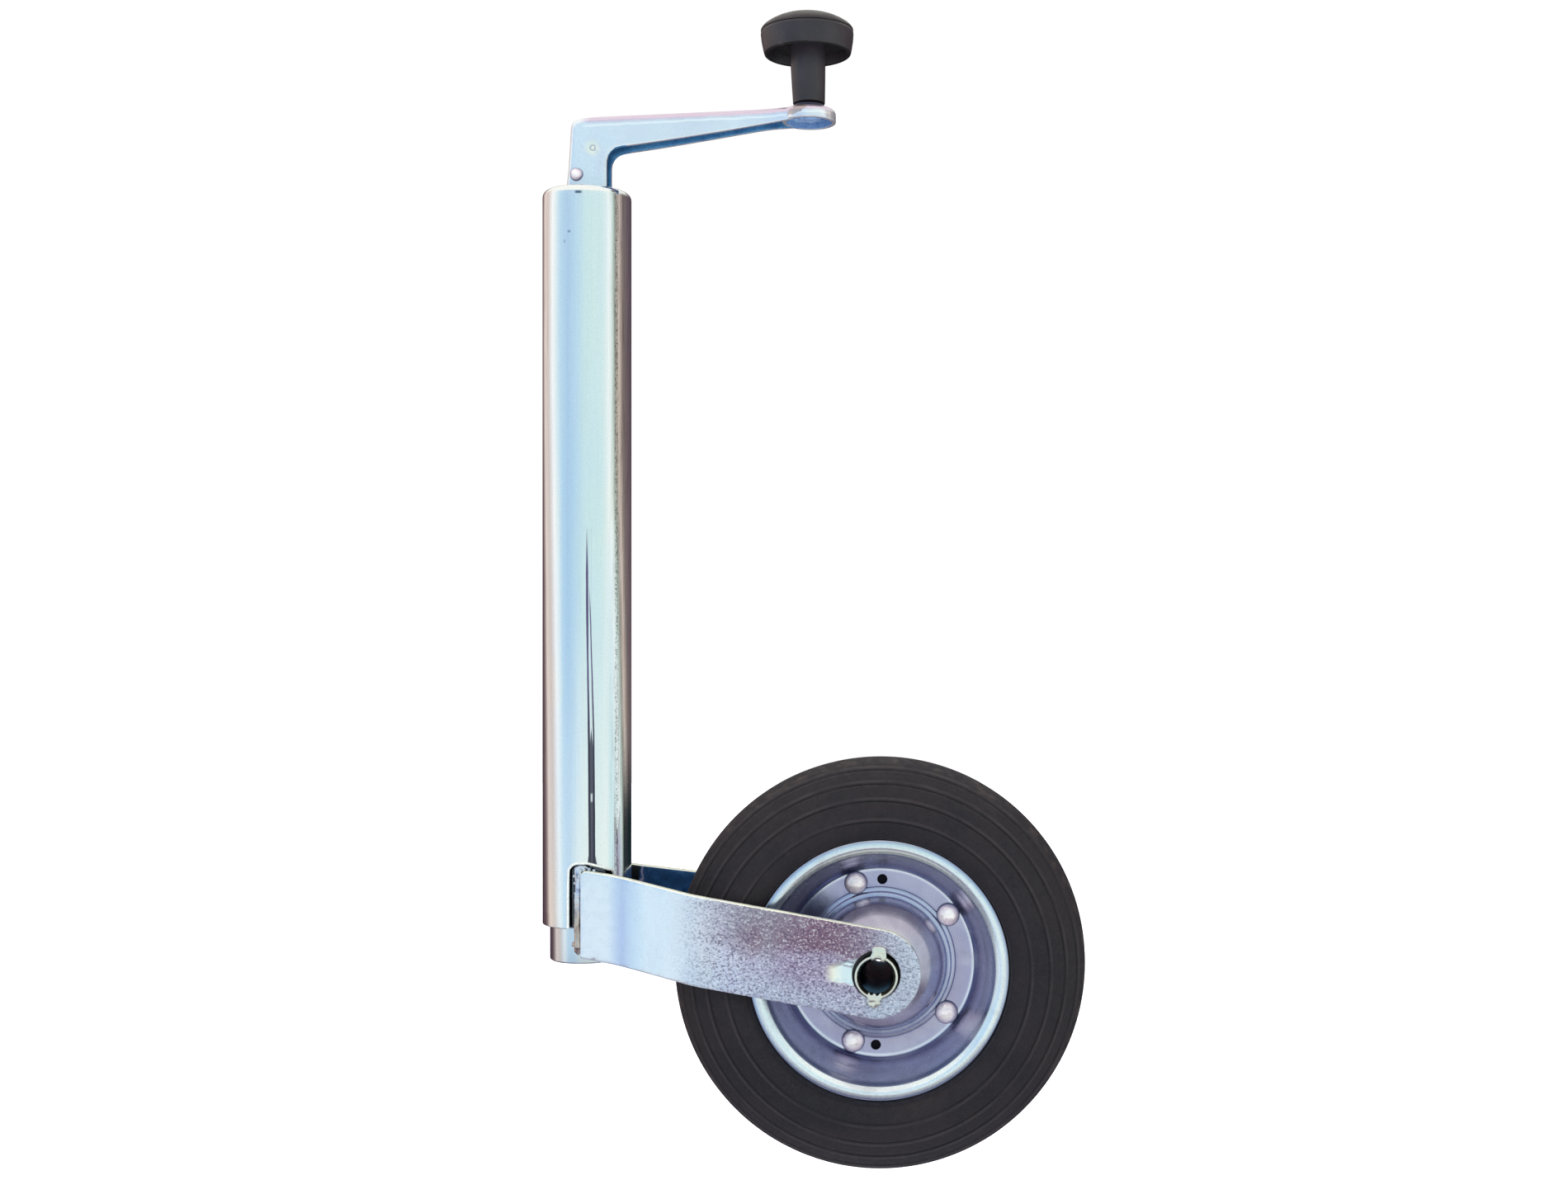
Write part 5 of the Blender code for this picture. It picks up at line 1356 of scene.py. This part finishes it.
softbox("key", (-1.1, -1.6, 1.5), (0.08, 0, 0), (1.4, 1.4), 26, (1.0, 0.98, 0.96))
softbox("fill", (1.7, -1.3, 0.5), (0.08, 0, -0.1), (1.2, 1.6), 10, (0.94, 0.97, 1.0))
softbox("top", (0.1, 0.4, 2.0), (0.08, 0, -0.1), (1.6, 1.6), 22, (1.0, 1.0, 1.0))

world = bpy.data.worlds.new("studio")
world.use_nodes = True
scene.world = world
wt = world.node_tree
for n in list(wt.nodes):
    wt.nodes.remove(n)


def wnode(kind, **kw):
    n = wt.nodes.new(kind)
    for key, value in kw.items():
        setattr(n, key, value)
    return n


def wmath(op, a, b=0.0, clamp=False):
    n = wnode("ShaderNodeMath", operation=op, use_clamp=clamp)
    for v, s in zip((a, b), n.inputs):
        if isinstance(v, bpy.types.NodeSocket):
            wt.links.new(v, s)
        else:
            s.default_value = v
    return n.outputs[0]


def wramp(fac, stops):
    n = wnode("ShaderNodeValToRGB")
    while len(n.color_ramp.elements) > 1:
        n.color_ramp.elements.remove(n.color_ramp.elements[0])
    for i, (p, c) in enumerate(stops):
        e = n.color_ramp.elements[0] if i == 0 else n.color_ramp.elements.new(p)
        e.position, e.color = p, (*c, 1)
    wt.links.new(fac, n.inputs[0])
    return n.outputs[0]


def wmix(fac, a, b):
    n = wnode("ShaderNodeMix", data_type="RGBA")
    for v, s in ((fac, n.inputs[0]), (a, n.inputs[6]), (b, n.inputs[7])):
        if isinstance(v, bpy.types.NodeSocket):
            wt.links.new(v, s)
        else:
            s.default_value = v if isinstance(v, float) else (*v, 1)
    return n.outputs[2]


coord = wnode("ShaderNodeTexCoord").outputs["Generated"]
sep = wnode("ShaderNodeSeparateXYZ")
wt.links.new(coord, sep.inputs[0])
dx, dy, dz = sep.outputs


def wspan(value, a, b, lo=0.0, hi=1.0):
    n = wnode("ShaderNodeMapRange", interpolation_type="SMOOTHSTEP")
    wt.links.new(value, n.inputs[0])
    for s, v in zip(n.inputs[1:5], (a, b, lo, hi)):
        s.default_value = v
    return n.outputs[0]


def room(r, g, b):
    """A colour of the surroundings that a near-white plating shows as the given one."""
    return tuple(c / d for c, d in zip(srgb(r, g, b), (0.88, 0.93, 0.95)))


# 0 straight behind the camera, growing to the right of the picture, in degrees
azimuth = wmath("MULTIPLY", wmath("ARCTAN2", dx, wmath("MULTIPLY", dy, -1.0)), 180 / math.pi)
# lower down, the bands at the left lean towards the middle
lean = wmath("MULTIPLY", wmath("MINIMUM", wmath("MAXIMUM", wmath("SUBTRACT", 0.12, dz), 0.0), 0.30), 100.0)
left = wspan(azimuth, -40.0, -72.0)
draw = wmath("MULTIPLY", wmath("MINIMUM", wmath("MAXIMUM", wmath("SUBTRACT", 0.08, dz), 0.0), 0.225), 160.0)
swung = wmath("SUBTRACT", wmath("SUBTRACT", azimuth, wmath("MULTIPLY", lean, left)), wmath("MULTIPLY", draw, wspan(azimuth, 58.0, 78.0)))
dome = wramp(
    wmath("ADD", wmath("DIVIDE", swung, 360.0), 0.5, True),
    [
        ((a + 180) / 360, room(*c))
        for a, c in (
            (-180, (66, 52, 64)), (-152, (100, 82, 86)), (-140, (160, 142, 138)), (-130, (228, 214, 206)), (-110, (210, 198, 190)),
            (-100, (228, 224, 222)), (-91, (250, 252, 252)), (-78, (224, 240, 243)), (-62, (186, 219, 239)), (-40, (174, 207, 233)),
            (-18, (186, 219, 238)), (8, (202, 231, 235)), (48, (208, 234, 235)), (60, (222, 239, 238)), (69, (242, 250, 248)),
            (76, (222, 236, 230)), (82, (186, 202, 192)), (88, (150, 152, 142)), (96, (192, 180, 170)), (101, (208, 195, 183)),
            (108, (174, 160, 152)), (115, (124, 113, 110)), (140, (104, 91, 98)), (180, (66, 52, 64)),
        )
    ],
)
# below the horizon the middle turns white, above it bright, straight down dark
wash = wmath("MULTIPLY", wspan(dz, 0.03, -0.15), wmath("MULTIPLY", wspan(azimuth, -34.0, -4.0), wspan(azimuth, 76.0, 58.0)))
seen = wmix(wmath("MULTIPLY", wash, 0.72), dome, room(240, 248, 240))
pale = wmath("MULTIPLY", wspan(dz, 0.0, -0.13), wmath("MULTIPLY", wspan(azimuth, -92.0, -66.0), wspan(azimuth, 10.0, -10.0)))
seen = wmix(wmath("MULTIPLY", pale, 0.45), seen, room(222, 240, 248))
dusk = wmath("MULTIPLY", wspan(dz, -0.07, -0.125), wspan(azimuth, 112.0, 122.5))
seen = wmix(wmath("MULTIPLY", dusk, 0.98), seen, room(16, 34, 40))
seen = wmix(wspan(dz, 0.30, 0.62), seen, (1.06, 1.04, 0.96))
seen = wmix(wspan(dz, -0.26, -0.62), seen, srgb(104, 92, 110))
seen = wmix(wspan(dz, -0.72, -0.84), seen, srgb(190, 194, 204))
shown = wnode("ShaderNodeBackground")
shown.inputs["Color"].default_value = (1, 1, 1, 1)
shown.inputs["Strength"].default_value = 1.03
mirrored = wnode("ShaderNodeBackground")
wt.links.new(seen, mirrored.inputs["Color"])
mirrored.inputs["Strength"].default_value = 1.0
ambient = wnode("ShaderNodeBackground")
wt.links.new(wmix(wspan(dz, -0.5, 0.6), (0.30, 0.30, 0.34), (0.96, 0.98, 1.0)), ambient.inputs["Color"])
ambient.inputs["Strength"].default_value = 0.85
path = wnode("ShaderNodeLightPath")
one = wnode("ShaderNodeMixShader")
wt.links.new(path.outputs["Is Glossy Ray"], one.inputs[0])
wt.links.new(ambient.outputs[0], one.inputs[1])
wt.links.new(mirrored.outputs[0], one.inputs[2])
two = wnode("ShaderNodeMixShader")
wt.links.new(path.outputs["Is Camera Ray"], two.inputs[0])
wt.links.new(one.outputs[0], two.inputs[1])
wt.links.new(shown.outputs[0], two.inputs[2])
out = wnode("ShaderNodeOutputWorld")
wt.links.new(two.outputs[0], out.inputs[0])

cam = bpy.data.cameras.new("camera")
cam.lens, cam.sensor_width, cam.sensor_fit = 41.19, 36.0, "HORIZONTAL"
cam.shift_x, cam.shift_y = -180 / 1900, 5 / 1900
eye = bpy.data.objects.new("camera", cam)
scene.collection.objects.link(eye)
eye.location = (0.1896, -0.985, -0.0203)
eye.rotation_euler = (math.pi / 2, 0, 0)
scene.camera = eye
scene.view_settings.view_transform = "Standard"
scene.view_settings.look = "None"
